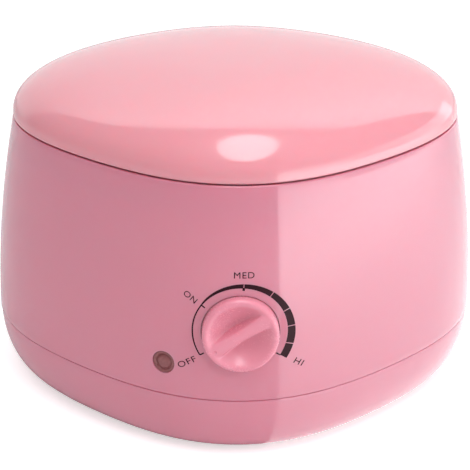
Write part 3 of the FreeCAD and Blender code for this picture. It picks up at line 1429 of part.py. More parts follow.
foot = new_body("rubber_foot")
revolve(foot, "foot_turned", [
    ("0", "0"), ("foot_radius - 0.6", "0"), ("foot_radius", "0.6"),
    ("foot_radius", "foot_stand"), ("foot_stem", "foot_stand"), ("foot_stem", "base_inside"),
    ("foot_barb", "base_inside"), ("foot_stem * 0.8", "base_inside + foot_barb_height"),
    ("0", "base_inside + foot_barb_height"),
])
copies("rubber_feet", foot, [at(x, y, 0) for x, y in foot_places])

base_screw = new_body("base_screw")
revolve(base_screw, "base_screw_turned", [
    ("0", "-screw_cap"), ("screw_head", "-screw_cap"), ("screw_head", "0"),
    ("screw_radius", "0"), ("screw_radius", "base_screw_length - screw_radius"),
    ("0", "base_screw_length"),
])
copies("base_screws", base_screw,
       [at(x, y, size.foot_stand + size.base_screw_sink) for x, y in post_places])

# ---------------------------------------------------------------------------------------------
# Terminal block, fuse and wiring
# ---------------------------------------------------------------------------------------------

block = new_body("terminal_block")
brick = sketch_on(block, "XY_Plane", "block_outline", "block_under")
rectangle(brick, "-block_length / 2", "block_length / 2", "-block_width / 2", "block_width / 2")
pad(block, brick, "block_brick", "block_height")
bores = sketch_on(block, "XZ_Plane", "block_bores_outline")
for x in ("-pole_pitch", "0", "pole_pitch"):
    circle(bores, x, "block_under + block_height * 0.45", "clamp_radius + clamp_fit")
pocket(block, bores, "block_bores", "2 * block_width", both=True)
wells = sketch_on(block, "XY_Plane", "block_wells_outline", "block_under + block_height")
for x in ("-pole_pitch", "0", "pole_pitch"):
    circle(wells, x, "block_width / 4", "screw_head - 0.6")
pocket(block, wells, "block_wells", "block_height * 0.5")
fixing = sketch_on(block, "XY_Plane", "block_fixing_outline", "block_under + block_height")
circle(fixing, "pole_pitch / 2", "0", "screw_hole")
pocket(block, fixing, "block_fixing_hole")
seat = sketch_on(block, "XY_Plane", "block_seat_outline", "block_under + block_height")
circle(seat, "pole_pitch / 2", "0", "screw_head + screw_play")
pocket(block, seat, "block_seat_cut", "block_seat")
place(block, "block_x", "block_place_y", "0")
keep(block)

block_screw = new_body("terminal_block_screw")
revolve(block_screw, "block_screw_turned", [
    ("0", "screw_cap"), ("screw_head", "screw_cap"), ("screw_head", "0"), ("screw_radius", "0"),
    ("screw_radius", "-block_screw_length + screw_radius"), ("0", "-block_screw_length"),
])
place(block_screw, "block_x + pole_pitch / 2", "block_place_y",
      "block_under + block_height - block_seat")
keep(block_screw)


def clamp(name, side):
    """Brass tube with its clamping screw."""
    x = "block_x + %s * pole_pitch" % side
    mouth = "block_place_y + block_width / 2 - clamp_inset"
    length = "block_width - 2 * clamp_inset"
    tube_body = bound_cylinder(name + "_tube", "clamp_radius", length, x, mouth, "clamp_level",
                               "1; 0; 0", "90")
    screw = bound_cylinder(name + "_screw", "screw_radius",
                           "block_under + block_height - clamp_level - clamp_inset",
                           x, "block_place_y + block_width / 4", "clamp_level")
    bore = bound_cylinder(name + "_bore", "wire_radius + clamp_fit", length, x, mouth,
                          "clamp_level", "1; 0; 0", "90")
    return difference(name, union(name + "_blank", [tube_body, screw]), bore)


keep(group("terminal_clamps", [clamp("left_clamp", -1), clamp("middle_clamp", 0),
                               clamp("right_clamp", 1)]))

fuse = new_body("thermal_fuse")
revolve(fuse, "fuse_turned", [
    ("0", "-fuse_length / 2 - fuse_lead_length"), ("fuse_lead", "-fuse_length / 2 - fuse_lead_length"),
    ("fuse_lead", "-fuse_length / 2"), ("fuse_radius", "-fuse_length / 2"),
    ("fuse_radius", "fuse_length / 2"), ("fuse_lead", "fuse_length / 2"),
    ("fuse_lead", "fuse_length / 2 + fuse_lead_length"), ("0", "fuse_length / 2 + fuse_lead_length"),
])
place(fuse, "fuse_x", "pot_y + fuse_y", "fuse_level", "0; 1; 0", "90")
keep(fuse)

clip_band = bound_cylinder("clip_band", "fuse_radius + fuse_fit + clip_thick", "clip_width",
                           "fuse_x - clip_width / 2", "pot_y + fuse_y", "fuse_level",
                           "0; 1; 0", "90")
clip_mouth = bound_box("clip_mouth", "clip_width", "4 * fuse_radius", "4 * fuse_radius",
                       "fuse_x - clip_width / 2", "pot_y + fuse_y - 2 * fuse_radius",
                       "fuse_level + fuse_radius / 2")
clip_tab = bound_box("clip_tab", "clip_width", "clip_screw + pad_radius", "clip_thick",
                     "fuse_x - clip_width / 2", "pot_y + fuse_y", "pad_under - clip_thick")
clip_blank = union("clip_blank", [difference("clip_hook", clip_band, clip_mouth), clip_tab])
clip_room = union("clip_room", [
    bound_cylinder("clip_bore", "fuse_radius + fuse_fit", "clip_width",
                   "fuse_x - clip_width / 2", "pot_y + fuse_y", "fuse_level", "0; 1; 0", "90"),
    bound_cylinder("clip_hole", "screw_hole", "clip_thick", "fuse_x",
                   "pot_y + fuse_y + clip_screw", "pad_under - clip_thick"),
])
keep(difference("fuse_clip", clip_blank, clip_room))
clip_under = pad_under - size.clip_thick
copies("fuse_clip_screw", small_screw,
       [at(size.fuse_x, pot_y + size.fuse_y + size.clip_screw, clip_under)])


def tube(points, radius):
    """Round wire along straight runs joined by tangent arcs."""
    edges = []
    start = points[0]
    for i in range(1, len(points) - 1):
        before, here, after = points[i - 1], points[i], points[i + 1]
        back = (before - here).normalize()
        ahead = (after - here).normalize()
        half_turn = (math.pi - back.getAngle(ahead)) / 2
        run = min((before - here).Length, (after - here).Length)
        trim = 0.45 * run
        bend = trim / math.tan(half_turn)
        middle = (back + ahead).normalize()
        centre = here + middle * (bend / math.cos(half_turn))
        enter, leave = here + back * trim, here + ahead * trim
        edges.append(Part.LineSegment(start, enter).toShape())
        edges.append(Part.Arc(enter, centre - middle * bend, leave).toShape())
        start = leave
    edges.append(Part.LineSegment(start, points[-1]).toShape())
    path = Part.Wire(edges)
    section = Part.Wire(Part.makeCircle(radius, points[0], points[1] - points[0]))
    solid = path.makePipeShell([section], True, False)
    expected = math.pi * radius ** 2 * path.Length
    if abs(solid.Volume - expected) > 0.02 * expected:
        raise RuntimeError("wire volume %.1f, expected %.1f" % (solid.Volume, expected))
    return solid


block_middle = size.body_y + size.block_y
clamp_reach = size.block_width / 2 - size.clamp_inset - size.wire_entry
block_rear = block_middle + clamp_reach
block_front = block_middle - clamp_reach
pole = [size.block_x + i * size.pole_pitch for i in (-1, 0, 1)]
clamp_lead = 14.0
tab_y = inlet_flat - size.inlet_body_depth - size.tab_length / 2
tab_under = size.inlet_level - size.tab_thick / 2
chamber_rear = pot_y + chamber_radius


def supply_wire(tab_x, pole_x, level):
    """From a tab of the inlet, down behind the chamber and across to the block's rear."""
    return tube([
        Vec(tab_x, tab_y, tab_under),
        Vec(tab_x, tab_y, level),
        Vec((tab_x + pole_x) / 2, block_rear + 2 * clamp_lead, level),
        Vec(pole_x, block_rear + clamp_lead, clamp_level),
        Vec(pole_x, block_rear, clamp_level),
    ], size.wire_radius)


feature_from("live_wire", supply_wire(-size.pin_spacing / 2, pole[2], 14.0))
feature_from("neutral_wire", supply_wire(size.pin_spacing / 2, pole[1], 22.0))

fuse_place_y = pot_y + size.fuse_y
fuse_ends = size.fuse_length / 2 + size.fuse_lead_length
blade_foot = -size.blade_width / 2
lower_tab = dial_to_world(size.long_tab - 2.5, blade_foot, -lower_blade - size.blade_thick / 2)
upper_tab = dial_to_world(size.short_tab - 2.5, -blade_foot, -upper_blade - size.blade_thick / 2)
upper_tab_foot = dial_to_world(size.short_tab - 1.2, blade_foot, -upper_blade - size.blade_thick / 2)
dial_down = dial_frame.Rotation.multVec(Vec(0, -1, 0))

fuse_wire_in = tube([
    Vec(pole[2], block_front, clamp_level),
    Vec(pole[2], block_front - 12, clamp_level),
    Vec(pole[2] + 25, block_front - 14, clamp_level + 5),
    Vec(size.fuse_x - fuse_ends - 12, fuse_place_y, fuse_level - 6),
    Vec(size.fuse_x - fuse_ends - 6, fuse_place_y, fuse_level),
    Vec(size.fuse_x - fuse_ends, fuse_place_y, fuse_level),
], size.wire_radius)
fuse_wire_out = tube([
    Vec(size.fuse_x + fuse_ends, fuse_place_y, fuse_level),
    Vec(size.fuse_x + fuse_ends + 7, fuse_place_y, fuse_level - 2),
    Vec(size.fuse_x + fuse_ends + 8, fuse_place_y - 18, fuse_level - 10),
    Vec(lower_tab.x + 4, pot_y - 42, fuse_level - 8),
    lower_tab + dial_down * 18,
    lower_tab,
], size.wire_radius)
feature_from("fuse_wires", Part.makeCompound([fuse_wire_in, fuse_wire_out]))

post_near, near_way = heater_post(-1)
post_far, far_way = heater_post(1)
heater_wire_in = tube([
    upper_tab,
    upper_tab - dial_down * 7,
    Vec(upper_tab.x + 14, upper_tab.y + 6, heater_middle),
    post_near + near_way * 10 + Vec(0, -6, 0),
    post_near + near_way * 5,
    post_near,
], size.wire_radius)
heater_wire_out = tube([
    post_far,
    post_far + far_way * 6,
    post_far + far_way * 8 + Vec(0, 4, -24),
    Vec(55, pot_y + 28, 20),
    Vec(12, pot_y - 22, 17),
    Vec(pole[1] + 6, block_front - 22, clamp_level),
    Vec(pole[1], block_front - 11, clamp_level),
    Vec(pole[1], block_front, clamp_level),
], size.wire_radius)
feature_from("heater_wires", Part.makeCompound([heater_wire_in, heater_wire_out]))

lamp_rear = -size.lens_shoulder - size.lens_flange_thick - size.lamp_length - 0.2
lamp_left = lamp_frame.multVec(Vec(0, -1.4, lamp_rear))
lamp_right = lamp_frame.multVec(Vec(0, 1.4, lamp_rear))
lamp_in = lamp_frame.Rotation.multVec(Vec(0, 0, -1))
lamp_wire_live = tube([
    lamp_right,
    lamp_right + lamp_in * 3,
    Vec(-9, upper_tab_foot.y - 2, lamp_level - 4),
    Vec(upper_tab_foot.x - 7, upper_tab_foot.y - 2, lamp_level - 2),
    upper_tab_foot + dial_down * 7,
    upper_tab_foot,
], size.lamp_wire_radius)
lamp_wire_neutral = tube([
    lamp_left,
    lamp_left + lamp_in * 5,
    lamp_left + lamp_in * 14 + Vec(-8, 0, -10),
    Vec(pole[0] + 8, block_front - 26, clamp_level + 4),
    Vec(pole[0], block_front - 12, clamp_level),
    Vec(pole[0], block_front, clamp_level),
], size.lamp_wire_radius)
feature_from("lamp_wires", Part.makeCompound([lamp_wire_live, lamp_wire_neutral]))

# ---------------------------------------------------------------------------------------------
# Check every object, then write one STEP file for each sub-part
# ---------------------------------------------------------------------------------------------

doc.recompute()
for item in doc.Objects:
    if "Invalid" in item.State or "Error" in item.State:
        raise RuntimeError("%s failed: %s" % (item.Label, item.State))
for item in subparts:
    if item.Shape.isNull() or not item.Shape.isValid():
        raise RuntimeError("%s has no valid shape" % item.Label)
    if not item.Shape.Solids:
        raise RuntimeError("%s has no solid" % item.Label)

os.makedirs("parts", exist_ok=True)
for item in subparts:
    item.Shape.exportStep("parts/%s.step" % item.Label)
    box = item.Shape.BoundBox
    print("%-24s %d solid(s) %9.0f mm3  x %.1f..%.1f  y %.1f..%.1f  z %.1f..%.1f" % (
        item.Label, len(item.Shape.Solids), item.Shape.Volume,
        box.XMin, box.XMax, box.YMin, box.YMax, box.ZMin, box.ZMax))
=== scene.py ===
# %% [markdown]
# # The looks of a candle wax melter
# The construction of this melter is fixed: every shell, screw and hinge already has its real
# size and place.  These cells load it, model the visible mouldings again with soft edges, print
# the dial, give each material its own finish, and light the whole like a small studio.

# %% Load the fixed frame
import json
import math

import bpy
from mathutils import Matrix, Vector


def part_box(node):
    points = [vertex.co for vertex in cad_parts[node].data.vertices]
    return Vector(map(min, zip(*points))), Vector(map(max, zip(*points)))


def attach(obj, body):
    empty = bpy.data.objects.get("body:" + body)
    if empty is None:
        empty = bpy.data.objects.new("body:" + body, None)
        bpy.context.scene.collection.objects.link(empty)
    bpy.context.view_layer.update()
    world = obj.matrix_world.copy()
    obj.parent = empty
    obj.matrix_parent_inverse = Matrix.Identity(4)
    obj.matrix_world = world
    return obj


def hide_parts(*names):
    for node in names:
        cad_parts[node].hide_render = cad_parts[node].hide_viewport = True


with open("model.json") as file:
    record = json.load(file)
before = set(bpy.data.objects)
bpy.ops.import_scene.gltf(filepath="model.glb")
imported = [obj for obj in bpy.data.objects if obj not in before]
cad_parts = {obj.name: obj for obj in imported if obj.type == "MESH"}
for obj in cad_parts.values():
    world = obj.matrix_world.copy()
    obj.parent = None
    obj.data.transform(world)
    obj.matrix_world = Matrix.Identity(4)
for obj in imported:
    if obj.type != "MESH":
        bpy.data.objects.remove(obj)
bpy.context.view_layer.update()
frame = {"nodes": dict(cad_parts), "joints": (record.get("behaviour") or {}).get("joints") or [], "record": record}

MM = 0.001

# %% [markdown]
# ## Where things are
# The frame knows the hinge, the dial and the bail as joints, and the height of each shell as a
# box.  Reading them from there means that no piece has to be fitted by eye.

# %% Places read from the frame
joints = {joint["name"]: joint for joint in frame["joints"]}
hinge = Vector(joints["lid_hinge"]["pos_m"])
dial = Vector(joints["knob_turn"]["pos_m"])
dial_out = -Vector(joints["knob_turn"]["axis"])
bail_axis = Vector(joints["bail_swing"]["pos_m"])
housing_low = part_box("upper_housing")[0].z
housing_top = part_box("upper_housing")[1].z
JOINT_GAP, LID_GAP = 0.4 * MM, 0.5 * MM
base_top = housing_low - JOINT_GAP
lid_low = housing_top + LID_GAP
floor_level = 2.0 * MM
centre_y = 3.6 * MM
half_width = 100.0 * MM
crown_level = 136.3 * MM
print("housing from", round(housing_low / MM, 2), "to", round(housing_top / MM, 2))

# %% [markdown]
# ## The plan of the body
# Seen from above, the melter is neither a circle nor an ellipse: it is wider than deep, with a
# soft corner at the front.  A circle that is pushed in and out by three slow waves gives that
# outline with one short formula, and every level of the body is the same outline, scaled.
# Angles are counted from the front, so a point on the wall is an angle and a level.

# %% The plan and its levels
PLAN_POINTS = 192
WAVES = ((2, -0.057), (3, 0.020), (4, 0.030))
SIDE_WALL = 2.6 * MM
LID_WALL = 2.5 * MM
RIM_RATIO = 0.906
FLOOR_RATIO = 0.862
BASE_TOP_RATIO = 0.997
BELLY_POWER = 1.825


def plan(turn):
    """Radius of the outline as a share of its mean, at an angle counted from the front."""
    return 1 + sum(amount * math.cos(n * turn) for n, amount in WAVES)


def housing_ratio(level):
    """The side wall leans in slowly above the joint, and faster towards the rim."""
    joint, rim = (housing_low + base_top) / 2, (housing_top + lid_low) / 2
    rise = max(0.0, (level - joint) / (rim - joint))
    return 1 - (1 - RIM_RATIO) * rise ** BELLY_POWER


STEPS = 720
half_turn = [math.pi * i / STEPS for i in range(STEPS + 1)]
mean_radius = half_width / max(plan(turn) * math.sin(turn) for turn in half_turn)


def wall_point(turn, level, inset=0.0):
    """A point on the side wall, or inside it."""
    reach = mean_radius * housing_ratio(level) * plan(turn) - inset
    return Vector((reach * math.sin(turn), centre_y - reach * math.cos(turn), level))


def wall_normal(turn, level):
    """Outward direction of the side wall."""
    nudge = 0.01
    across = wall_point(turn + nudge, level) - wall_point(turn - nudge, level)
    upward = wall_point(turn, level + MM) - wall_point(turn, level - MM)
    return across.cross(upward).normalized()


def turn_at(across, level):
    """Where on the front of the wall a point lies that is this far to the side."""
    low_end, high_end = -1.2, 1.2
    for _ in range(40):
        halfway = (low_end + high_end) / 2
        if wall_point(halfway, level).x < across:
            low_end = halfway
        else:
            high_end = halfway
    return (low_end + high_end) / 2


print("mean radius", round(mean_radius / MM, 2), "front at", tuple(wall_point(0, dial.z) / MM))

# %% [markdown]
# ## Working by hand, in code
# The operators act on whatever is selected, so each step starts by clearing the selection and
# picking its own edges by their place.  These few helpers do that and nothing more.

# %% Selecting and editing
TINY = 0.01 * MM
SEAM = 0.002 * MM


def only(piece):
    """Selects one object alone and makes it active."""
    bpy.ops.object.select_all(action="DESELECT")
    piece.select_set(True)
    bpy.context.view_layer.objects.active = piece
    return piece


def fresh(name):
    """Names the primitive that was just added and puts its place into its mesh."""
    piece = bpy.context.object
    piece.name = name
    piece.data.name = name
    bpy.ops.object.transform_apply(location=True, rotation=True, scale=True)
    return piece


def edit(piece, test=None, kind="VERT"):
    """Enters edit mode with the vertices, edges or faces selected whose corners pass the test."""
    only(piece)
    bpy.ops.object.mode_set(mode="EDIT")
    bpy.ops.mesh.select_mode(type=kind)
    bpy.ops.mesh.select_all(action="SELECT" if test is None else "DESELECT")
    if test is None:
        return
    bpy.ops.object.mode_set(mode="OBJECT")
    mesh = piece.data
    places = [vertex.co for vertex in mesh.vertices]
    items = {"VERT": mesh.vertices, "EDGE": mesh.edges, "FACE": mesh.polygons}[kind]
    for item in items:
        corners = [item.co] if kind == "VERT" else [places[i] for i in item.vertices]
        item.select = all(test(corner) for corner in corners)
    bpy.ops.object.mode_set(mode="EDIT")


def done(piece):
    """Leaves edit mode with closed seams and outward faces."""
    bpy.ops.mesh.select_all(action="SELECT")
    bpy.ops.mesh.remove_doubles(threshold=SEAM)
    bpy.ops.mesh.normals_make_consistent(inside=False)
    bpy.ops.object.mode_set(mode="OBJECT")
    return piece


def apply_modifier(piece, kind, **settings):
    """Adds a modifier, sets it and applies it at once."""
    only(piece)
    modifier = piece.modifiers.new(kind.title(), kind)
    for name, value in settings.items():
        setattr(modifier, name, value)
    bpy.ops.object.modifier_apply(modifier=modifier.name)
    return piece


def soften(piece, width, angle=35):
    """Rounds the edges that are sharper than an angle, as a mould does."""
    return apply_modifier(piece, "BEVEL", width=width, segments=2, limit_method="ANGLE",
                          angle_limit=math.radians(angle), use_clamp_overlap=True)


def round_edges(piece, test, width, segments):
    """Rounds only the edges whose corners pass the test."""
    edit(piece, test, "EDGE")
    bpy.ops.mesh.bevel(offset=width, segments=segments, affect="EDGES")
    return done(piece)


def smooth(piece, angle):
    """Shades softly, but keeps real corners crisp."""
    only(piece)
    bpy.ops.object.shade_smooth_by_angle(angle=math.radians(angle))
    return piece


def merge(piece, others):
    """Joins other objects into one."""
    only(piece)
    for other in others:
        other.select_set(True)
    bpy.ops.object.join()
    return piece


def combine(piece, others, operation):
    """Adds or cuts other solids, which lie clear of each other and are used up."""
    tool = merge(others[0], others[1:]) if len(others) > 1 else others[0]
    apply_modifier(piece, "BOOLEAN", operation=operation, solver="EXACT", object=tool)
    bpy.data.objects.remove(tool)
    return piece


# %% [markdown]
# ## Three ways to start a shape
# Moulded shells start as a ring in the plan's outline and are extruded upwards.  Round parts
# start as a profile that is spun, as on a lathe.  The rest starts as a block or a rod.  A shape
# that repeats, such as a screw post, is made once and copied.

# %% Rings and lathe work
def plan_ring(name, level, ratio, inset=0.0):
    """A circle pushed into the plan's outline."""
    bpy.ops.mesh.primitive_circle_add(vertices=PLAN_POINTS, radius=mean_radius,
                                      location=(0, centre_y, level))
    piece = fresh(name)
    for vertex in piece.data.vertices:
        turn = math.atan2(vertex.co.x, centre_y - vertex.co.y)
        reach = ratio * plan(turn) - inset / mean_radius
        vertex.co.x *= reach
        vertex.co.y = centre_y + (vertex.co.y - centre_y) * reach
    return piece


def carry_on(rings):
    """Extrudes the selected rim through rings, each a level and a ratio of the widest plan."""
    for (level, ratio), (next_level, next_ratio) in zip(rings, rings[1:]):
        rise = {"value": (0, 0, next_level - level)}
        bpy.ops.mesh.extrude_region_move(TRANSFORM_OT_translate=rise)
        share = next_ratio / ratio
        bpy.ops.transform.resize(value=(share, share, 1),
                                 center_override=(0, centre_y, next_level))


def profile(name, points):
    """A line of vertices in the XZ plane, drawn by extruding one vertex."""
    bpy.ops.mesh.primitive_plane_add(size=MM)
    piece = fresh(name)
    edit(piece)
    bpy.ops.mesh.merge(type="CENTER")
    here = Vector((0, 0, 0))
    for i, (x, z) in enumerate(points):
        step = Vector((x, 0, z)) - here
        here = Vector((x, 0, z))
        if i == 0:
            bpy.ops.transform.translate(value=step)
        else:
            bpy.ops.mesh.extrude_region_move(TRANSFORM_OT_translate={"value": step})
    return piece


def lathe(name, points, steps=96):
    """Turns a profile of (radius, height) points round the Z axis."""
    piece = profile(name, points)
    bpy.ops.mesh.select_all(action="SELECT")
    bpy.ops.mesh.spin(steps=steps, angle=2 * math.pi, center=(0, 0, 0), axis=(0, 0, 1))
    return done(piece)


# %% Simple solids, and where they go
def rod(name, radius, low, high, steps=48):
    """An upright cylinder between two levels."""
    bpy.ops.mesh.primitive_cylinder_add(vertices=steps, radius=radius, depth=high - low,
                                        location=(0, 0, (low + high) / 2))
    return fresh(name)


def block(name, size, centre):
    """A box of a size, round a centre."""
    bpy.ops.mesh.primitive_cube_add(size=1, location=centre, scale=size)
    return fresh(name)


def put(piece, place):
    """Moves a finished shape to its place, and keeps the object at the origin."""
    piece.data.transform(place)
    return piece


def repeated(piece, points):
    """A finished shape at several points in plan, each copy with its own mesh."""
    shapes = [piece]
    for _ in points[1:]:
        only(piece)
        bpy.ops.object.duplicate()
        shapes.append(bpy.context.object)
    return [put(shape, Matrix.Translation((x, y, 0))) for shape, (x, y) in zip(shapes, points)]


def facing(point, out):
    """The place of a shape drawn along Z that should stand out of a wall."""
    turned = Vector((0, 0, 1)).rotation_difference(out).to_matrix().to_4x4()
    return Matrix.Translation(point) @ turned


dial_lean = math.pi / 2 - math.asin(dial_out.z)
dial_place = Matrix.Translation(dial) @ Matrix.Rotation(dial_lean, 4, "X")
print("dial looks along", [round(v, 3) for v in dial_place.to_3x3() @ Vector((0, 0, 1))])

# %% [markdown]
# ## The side wall of the housing
# On the real object this is one injection moulding, 2.6 mm thick, with a deck inside that
# carries the pot.  The wall is the plan outline drawn upwards, ring by ring, while it shrinks.
# Giving the finished skin its thickness afterwards keeps the wall even all round, which a second,
# scaled outline would not.

# %% The housing's wall
LEVELS = 30
RIM_ROUNDING, JOINT_ROUNDING = 0.55 * MM, 0.25 * MM
wall_levels = [housing_low + (housing_top - housing_low) * i / LEVELS for i in range(LEVELS + 1)]
housing = plan_ring("housing_shell", housing_low, housing_ratio(housing_low))
edit(housing)
carry_on([(level, housing_ratio(level)) for level in wall_levels])
done(housing)
apply_modifier(housing, "SOLIDIFY", thickness=SIDE_WALL, offset=-1, use_even_offset=True)


def at_level(level):
    """A test for what lies at a level."""
    return lambda corner: abs(corner.z - level) < TINY


round_edges(housing, at_level(housing_top), RIM_ROUNDING, 4)
round_edges(housing, at_level(housing_low), JOINT_ROUNDING, 2)
widest = max(abs(vertex.co.x) for vertex in housing.data.vertices)
print("wall", len(housing.data.polygons), "faces, half width", round(widest / MM, 2))

# %% [markdown]
# ## The deck inside
# Under the lid a flat deck closes the housing round the pot, with a raised ring at its opening.
# It is one chain of rings, extruded in turn from circle to circle and out to the plan outline,
# until the last ring meets the first.

# %% The deck and its raised ring
pot_y = bail_axis.y
DECK_DROP, DECK_THICK, BEAD_RISE, BEAD_WIDTH = 7.5 * MM, 2.6 * MM, 1.2 * MM, 8.0 * MM
deck_top = housing_top - DECK_DROP
deck_low = deck_top - DECK_THICK
bead_top = deck_top + BEAD_RISE
opening = 60.5 * MM
bead_edge = opening + BEAD_WIDTH


def deck_point(turn, radius, level):
    """A point on a circle round the pot, or in the middle of the wall if there is no radius."""
    if radius:
        return Vector((radius * math.sin(turn), pot_y - radius * math.cos(turn), level))
    place = wall_point(turn, deck_top, SIDE_WALL / 2)
    return Vector((place.x, place.y, level))


bpy.ops.mesh.primitive_circle_add(vertices=PLAN_POINTS, radius=bead_edge,
                                  location=(0, pot_y, deck_top))
deck = fresh("deck")
edit(deck)
middle = pot_y
for radius, level in ((bead_edge, bead_top), (opening, bead_top), (opening, deck_low),
                      (bead_edge, deck_low), (None, deck_low), (None, deck_top),
                      (bead_edge, deck_top)):
    bpy.ops.mesh.extrude_region_move(TRANSFORM_OT_translate={"value": (0, 0, 0)})
    bpy.ops.object.mode_set(mode="OBJECT")
    for vertex in deck.data.vertices:
        if vertex.select:
            turn = math.atan2(vertex.co.x, middle - vertex.co.y)
            vertex.co = deck_point(turn, radius, level)
    middle = pot_y if radius else centre_y
    bpy.ops.object.mode_set(mode="EDIT")
done(deck)


def on_bead(radius):
    """A test for the raised ring's edge of this radius."""
    return lambda corner: (at_level(bead_top)(corner) and
                           abs(math.hypot(corner.x, corner.y - pot_y) - radius) < TINY)


for radius in (bead_edge, opening):
    round_edges(deck, on_bead(radius), 0.45 * MM, 3)
print("deck faces", len(deck.data.polygons))

# %% [markdown]
# ## The well, the boss and the openings
# The mould also forms the well that the knob sits in, the boss behind the lamp and the pad
# behind the mains inlet.  They meet the visible wall, so a boolean merges them into it, and the
# openings are then cut through both at once, as the cores of a mould would.  A stepped bore is
# turned as one tool, so that its steps stay in line.

# %% What meets the wall
well_outside, well_depth, well_floor, well_start = 17.5 * MM, 9.0 * MM, 2.5 * MM, 2.0 * MM
boss_radius, boss_depth, boss_start = 7.0 * MM, 9.0 * MM, 1.2 * MM
pad_depth, pad_middle = 3.5 * MM, 1.76 * MM
inlet_flat, inlet_level = 87.47 * MM, 46.0 * MM
lamp_x, lamp_level = -28.9 * MM, dial.z - 14.9 * MM

lamp_turn = turn_at(lamp_x, lamp_level)
lamp_place = facing(wall_point(lamp_turn, lamp_level), wall_normal(lamp_turn, lamp_level))
print("lamp at", [round(v / MM, 2) for v in lamp_place.translation])

inside = [put(rod("well", well_outside, -well_depth - well_floor, -well_start), dial_place),
          put(rod("lamp_boss", boss_radius, -boss_depth, -boss_start), lamp_place),
          block("inlet_pad", (47 * MM, pad_depth, 27 * MM),
                (0, inlet_flat - pad_middle, inlet_level))]
combine(housing, inside, "UNION")

well_bore = [(0, 12), (14.75, 12), (14.75, -9), (5, -9), (5, -20), (0, -20)]
lens_bore = [(0, 12), (4.53, 12), (4.53, -2.2), (5.38, -2.2), (5.38, -12), (0, -12)]
recess = block("recess", (41 * MM, 20 * MM, 21 * MM), (0, inlet_flat + 10 * MM, inlet_level))
window = block("window", (23.5 * MM, 30 * MM, 15.5 * MM), (0, inlet_flat, inlet_level))
combine(recess, [window], "UNION")
bores = [put(lathe("bore", [(x * MM, z * MM) for x, z in points]), place)
         for points, place in ((well_bore, dial_place), (lens_bore, lamp_place))]
combine(housing, bores + [recess], "DIFFERENCE")
print("wall with its openings", len(housing.data.polygons), "faces")

# %% [markdown]
# ## What stands inside
# Four hollow posts take the long screws from below.  A web ties each one to the wall, so that it
# doesn't snap off, and four short hangers under the deck carry the heated chamber.  Nobody sees
# where they meet the wall, so they are joined on without a boolean.

# %% Screw posts with their webs, and the hangers
posts = [(x * MM, y * MM) for x, y in ((-44.1, -48.5), (44.1, -48.5), (-47.3, 56.9), (47.3, 56.9))]
post_low, post_top = housing_low + 2.4 * MM, housing_low + 32.4 * MM
POST, SCREW_BORE = 4.5 * MM, 1.45 * MM
WEB, WEB_START, WEB_RATIO = 3.0 * MM, 2.5 * MM, 0.97
HANGER, HANGER_DROP, HANGER_CIRCLE = 4.0 * MM, 4.0 * MM, 62.0 * MM


def tube(name, rings):
    """A turned, hollow post."""
    return lathe(name, rings + rings[:1], 32)


joined = [deck] + repeated(tube("post", [(POST, post_low), (POST, post_top),
                                         (SCREW_BORE, post_top), (SCREW_BORE, post_low)]), posts)
for x, y in posts:
    outward = Vector((x, y - centre_y, 0))
    wall = mean_radius * plan(math.atan2(outward.x, -outward.y)) * WEB_RATIO - SIDE_WALL
    length = wall - outward.length - WEB_START
    web = block("web", (length, WEB, post_top - post_low),
                (length / 2 + WEB_START, 0, (post_low + post_top) / 2))
    joined.append(put(web, Matrix.Translation((x, y, 0))
                      @ Matrix.Rotation(math.atan2(outward.y, outward.x), 4, "Z")))
corners = [math.radians(45 + 90 * i) for i in range(4)]
joined += repeated(rod("hanger", HANGER, deck_low - HANGER_DROP, deck_low + MM, 32),
                   [(HANGER_CIRCLE * math.cos(turn), pot_y + HANGER_CIRCLE * math.sin(turn))
                    for turn in corners])
print(len(joined) - 1, "posts, webs and hangers")

# %% [markdown]
# ## The hinge lugs
# Two lugs reach out of the rear wall, and the pin runs through them and the lid's knuckle
# between them.  A lug is a block with a round eye at its end, drilled for the pin.  The right
# one is made in its place, and the left one is its copy.

# %% The hinge lugs
rear_wall = wall_point(math.pi, (housing_top + lid_low) / 2).y
knuckle_radius, knuckle_half, lug_length = 3.8 * MM, 15.0 * MM, 7.0 * MM
SIDE_PLAY, LUG_BORE = 0.3 * MM, 1.52 * MM
along_hinge = Matrix.Translation(hinge) @ Matrix.Rotation(math.pi / 2, 4, "Y")
lug_x = knuckle_half + SIDE_PLAY + lug_length / 2
depth = hinge.y - rear_wall + SIDE_WALL / 2
lug = block("lug", (lug_length, depth, 2 * knuckle_radius), (lug_x, hinge.y - depth / 2, hinge.z))
eye = rod("eye", knuckle_radius, lug_x - lug_length / 2, lug_x + lug_length / 2)
combine(lug, [put(eye, along_hinge)], "UNION")
pin_bore = rod("pin_bore", LUG_BORE, lug_x - lug_length, lug_x + lug_length, 32)
combine(lug, [put(pin_bore, along_hinge)], "DIFFERENCE")
soften(lug, 0.3 * MM, 60)
joined += repeated(lug, [(0, 0), (-2 * lug_x, 0)])
merge(housing, joined)
smooth(housing, 30)
print("housing", len(housing.data.polygons), "faces")

# %% [markdown]
# ## The base tray
# The lower shell is a shallow dish: flat below, curving up like a quarter ellipse until its side
# stands upright at the joint.  It starts as a filled ring, whose rim alone is drawn upwards.  A
# thin upstand inside its edge centres the housing.

